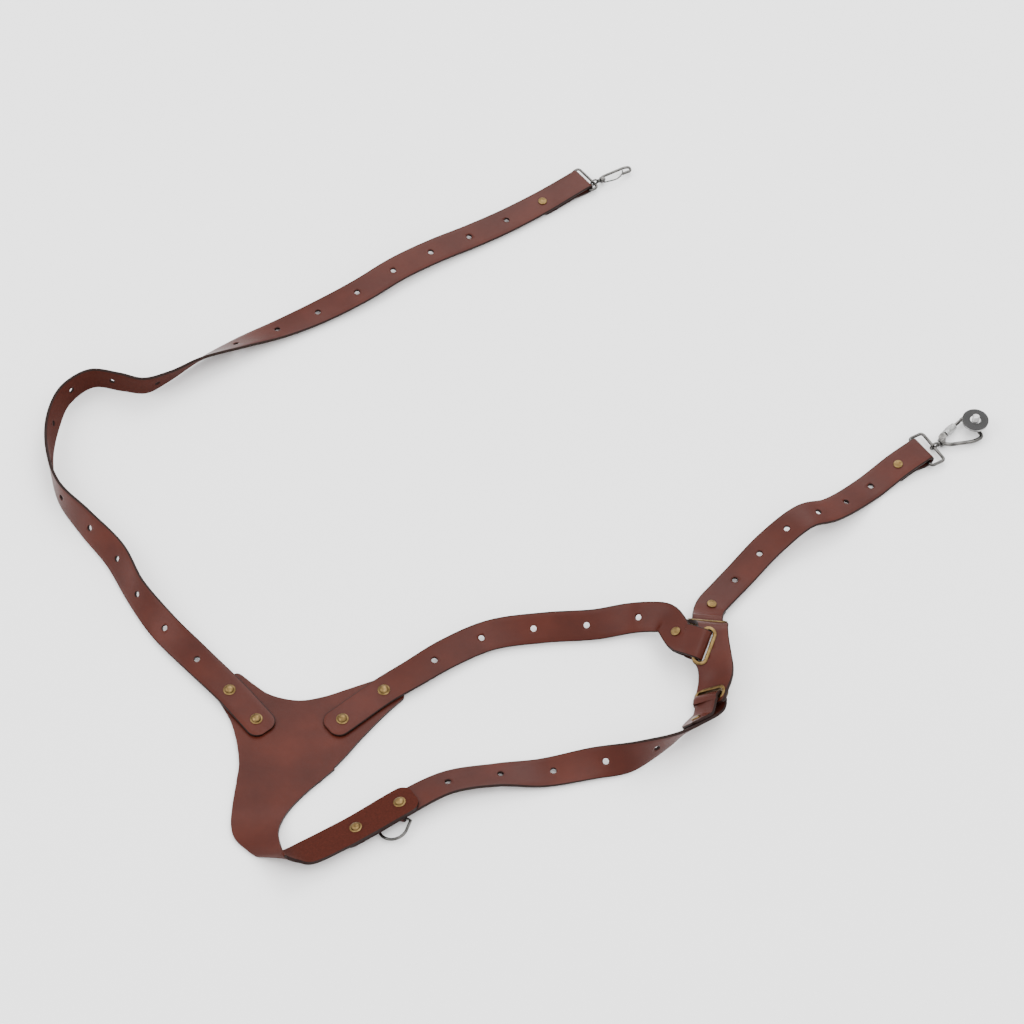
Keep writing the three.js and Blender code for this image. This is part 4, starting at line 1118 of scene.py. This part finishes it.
gate_rows = [[8.2, -3.95, 0.3], [12, -4.4, 0.4], [20.5, -5.4, 1], [24.5, -4.4, 1.8],
             [27.8, -2.2, 2.4], [29.6, 1.4, 2.5]]
line, taper = rounded_ends(smooth_rows(gate_rows, 8), 1.3)
gate_wire = wire_mesh(snap_spot, line, 1.3, False, 12, taper)
settle(joined("snap_gate_metal", [gate_wire], DARK_NICKEL), "snap_gate")
print("snap hook is about 40 mm long")

# %% [markdown]
# ## Carabiner
# The carabiner's frame is one bent wire from the collar to the nose. Its gate is a straight rod on
# a pin in a small fork, and a six-sided sleeve screws along the gate to lock it.

# %% Carabiner frame, gate, pin and sleeve
ring_bar = shifted(camera_route.at(camera_route.length), out=-RING_TURN)
ring_spot = spot_from(ring_bar[0], [0.86, 0.51, -0.06], ring_bar[3])
settle(strap_ring_piece("strap_ring_metal", ring_spot, 33, 14, 2.8), "strap_ring")
carabiner_spot = spot_from(shifted(ring_spot, 14.8)[0], [0.868, 0.493, -0.01], UP)
COLLAR = (6, 10)
GATE_PIVOT = (12, 5.2)
NOSE = (35.2, 11.6)
PIN = 1.6
eye = swivel_eye("carabiner_eye_metal", carabiner_spot, 4.8, 2, 2.2, 3.6, COLLAR)
settle(eye, "carabiner_eye")
bends = [(8.5, -1.8), (13, -5.4), (33, -12.6), (42.6, -12), (42.6, 12.6), (37.5, 12.3), NOSE]
line, taper = rounded_ends(rounded_line(bends, 6, False), 3.4)


def fork_cheek(side):
    """One cheek of the fork that holds the gate's pin, as a rounded block."""
    low, high = (1.8, 3.0) if side > 0 else (-3.0, -1.8)
    outline = [(7.6, 1.4), (8.4, 0.8), (13.2, 1.2), (14.5, 2.6)]
    outline += [(GATE_PIVOT[0] + 2.6 * math.cos(a), GATE_PIVOT[1] + 2.0 * math.sin(a))
                for a in np.linspace(-0.3, math.pi * 0.8, 10)]
    outline += [(7.6, 5.2)]
    return prism(outline, carabiner_spot, low, high)


frame_parts = [wire_mesh(carabiner_spot, line, 3.4, False, 20, taper),
               collar_mesh(carabiner_spot, 7, 2.8, *COLLAR), fork_cheek(1), fork_cheek(-1)]
settle(joined("carabiner_frame_metal", frame_parts, DARK_NICKEL), "carabiner_frame")

gate_angle = math.atan2(NOSE[1] - GATE_PIVOT[1], NOSE[0] - GATE_PIVOT[0])
gate_length = math.hypot(NOSE[0] - GATE_PIVOT[0], NOSE[1] - GATE_PIVOT[1]) - 0.6
p, t, w, n = carabiner_spot
pivot = shifted(carabiner_spot, *GATE_PIVOT)[0]
gate_spot = (pivot, t * math.cos(gate_angle) + w * math.sin(gate_angle),
             w * math.cos(gate_angle) - t * math.sin(gate_angle), n)
pin_axis = (pivot, n, t, w)
gate_parts = [
    collar_mesh(pin_axis, 4.6, PIN + 0.1, -1.5, 1.5),
    rod_mesh(gate_spot, [(1.5, 2.0), (1.5, gate_length - 0.4), (1.2, gate_length)]),
]
settle(joined("carabiner_gate_metal", gate_parts, DARK_NICKEL), "carabiner_gate")
pin_profile = [(PIN / 2 - 0.2, -3.2), (PIN / 2, -3.0), (PIN / 2, 3.0), (PIN / 2 - 0.2, 3.2)]
pin = joined("carabiner_gate_pin_metal", [rod_mesh(pin_axis, pin_profile)], DARK_NICKEL)
settle(pin, "carabiner_gate_pin")


def grooves(first):
    """Three fine rings turned into the sleeve."""
    starts = [first + k * 0.7 for k in range(3)]
    return [row for start in starts for row in ((3.2, start, 0), (2.95, start + 0.35, 0))]


def sleeve_metal():
    """A six-sided nut with turned ends and fine rings, bored for the gate."""
    p, t, w, n = gate_spot
    count = 48
    verts = []
    rows = [(1.95, 4.0, 0), (2.9, 4.0, 0), (3.15, 4.4, 0)] + grooves(4.6)
    rows += [(3.2, 6.9, 0), (3.3, 7.2, 1), (3.3, 13.0, 1), (3.2, 13.3, 0)] + grooves(13.5)
    rows += [(3.15, 15.7, 0), (2.9, 16.0, 0), (1.95, 16.0, 0)]
    for radius, distance, six in rows:
        for a in np.linspace(0, 2 * math.pi, count, endpoint=False):
            flat = math.cos((a + math.pi / 6) % (math.pi / 3) - math.pi / 6)
            r = radius * (1.06 * math.cos(math.pi / 6) / flat if six else 1)
            verts.append(p + t * distance + w * (r * math.cos(a)) + n * (r * math.sin(a)))
    faces = ring_faces(len(rows), count, closed=True)
    return joined("lock_sleeve_metal", [(verts, faces)], BRIGHT_STEEL, 25)


settle(sleeve_metal(), "lock_sleeve")
print("gate is", round(gate_length, 1), "mm long")

# %% [markdown]
# ## Camera plate
# A link goes round the carabiner's wide end. On it turns a steel plate with a ribbed rubber pad and
# a screw that stands out of the middle.

# %% Link, plate, pad and screw
link_spot = shifted(carabiner_spot, 42.6, 1.3)
link_radius = (3.4 + 0.9 + 1.7) / 2
ring = [(link_radius * math.cos(a), 0, link_radius * math.sin(a))
        for a in np.linspace(0, 2 * math.pi, 40, endpoint=False)]
upright = (link_spot[0], link_spot[3], link_spot[1], link_spot[2])
boss_profile = [(2.6, link_radius), (3.2, 3.4), (4.1, 3.9), (4.2, 4.2), (4.2, 4.8), (4.0, 5.0)]
boss = rod_mesh(upright, boss_profile)
link = joined("plate_link_metal", [wire_mesh(link_spot, ring, 1.7, True), boss], DARK_NICKEL)
settle(link, "plate_link")
PAD_RADIUS = 11.25
plate_profile = [
    (1.5, 5.3), (PAD_RADIUS - 0.7, 5.3), (PAD_RADIUS - 0.3, 5.6), (PAD_RADIUS - 0.2, 6.4),
    (PAD_RADIUS - 0.3, 7.3), (PAD_RADIUS - 0.7, 7.6), (1.5, 7.6), (1.5, 5.3),
]
pad_profile = [
    (4.9, 7.7), (PAD_RADIUS - 0.3, 7.7), (PAD_RADIUS, 8.0), (PAD_RADIUS, 9.1),
    (PAD_RADIUS - 0.35, 9.45),
]
for ridge in np.linspace(PAD_RADIUS - 1.2, 6.0, 5):
    pad_profile += [(ridge + 0.35, 9.45), (ridge, 9.2), (ridge - 0.35, 9.45)]
pad_profile += [(4.9, 9.4), (4.9, 7.7)]
thread = [(0, 4.4), (1.2, 4.4), (1.2, 7.9), (4.5, 7.9), (4.6, 8.2), (4.5, 8.8), (3.0, 8.9)]
for turn in np.arange(9.2, 12.8, 1.0):
    thread += [(2.65, turn), (3.1, turn + 0.5)]
thread += [(2.7, 13.1), (2.3, 13.5), (0, 13.5)]
for node, profile, material, slot in [
    ("camera_plate", plate_profile, BRIGHT_STEEL, "bright_steel"),
    ("rubber_pad", pad_profile, PAD_RUBBER, "black_rubber"),
    ("camera_screw", thread, BRIGHT_STEEL, "bright_steel"),
]:
    settle(spun(node + "_turned", profile, link_spot, material, 64), node)
print("camera plate:", 2 * PAD_RADIUS, "mm across")

# %% [markdown]
# ## Table and light
# A pale table and three broad soft lamps show leather well: a big one behind for the gloss, one on
# the left to fill and one above. A pale sky keeps the shadows from going black.

# %% Floor and lamps
bpy.ops.mesh.primitive_plane_add(size=14, location=(0, 0, 0))
floor = bpy.context.object
floor.name = "table"
table, nodes, links, shader = new_finish("pale table")
shade = ramp(nodes, links, noise(nodes, links, 3, 2), [
    (0.3, (0.93, 0.93, 0.93)),
    (0.7, (0.95, 0.95, 0.95)),
])
links.new(shade, shader.inputs["Base Color"])
shader.inputs["Roughness"].default_value = 0.7
floor.data.materials.append(table)


def lamp(name, place, size, power):
    data = bpy.data.lights.new(name, "AREA")
    data.energy = power
    data.size = size
    light = bpy.data.objects.new(name, data)
    light.location = place
    light.rotation_euler = (-Vector(place)).to_track_quat("-Z", "Y").to_euler()
    bpy.context.scene.collection.objects.link(light)


lamp("lamp behind", (0.3, 1.9, 2.3), 1.8, 50)
lamp("lamp on the left", (-2.1, -0.4, 2.2), 1.6, 36)
lamp("lamp above", (0.8, -0.6, 3.0), 2.4, 60)
sky = bpy.data.worlds.new("sky")
sky.use_nodes = True
sky.node_tree.nodes["Background"].inputs["Color"].default_value = (1, 1, 1, 1)
sky.node_tree.nodes["Background"].inputs["Strength"].default_value = 1.9
bpy.context.scene.world = sky
print("lamps lit: 3")
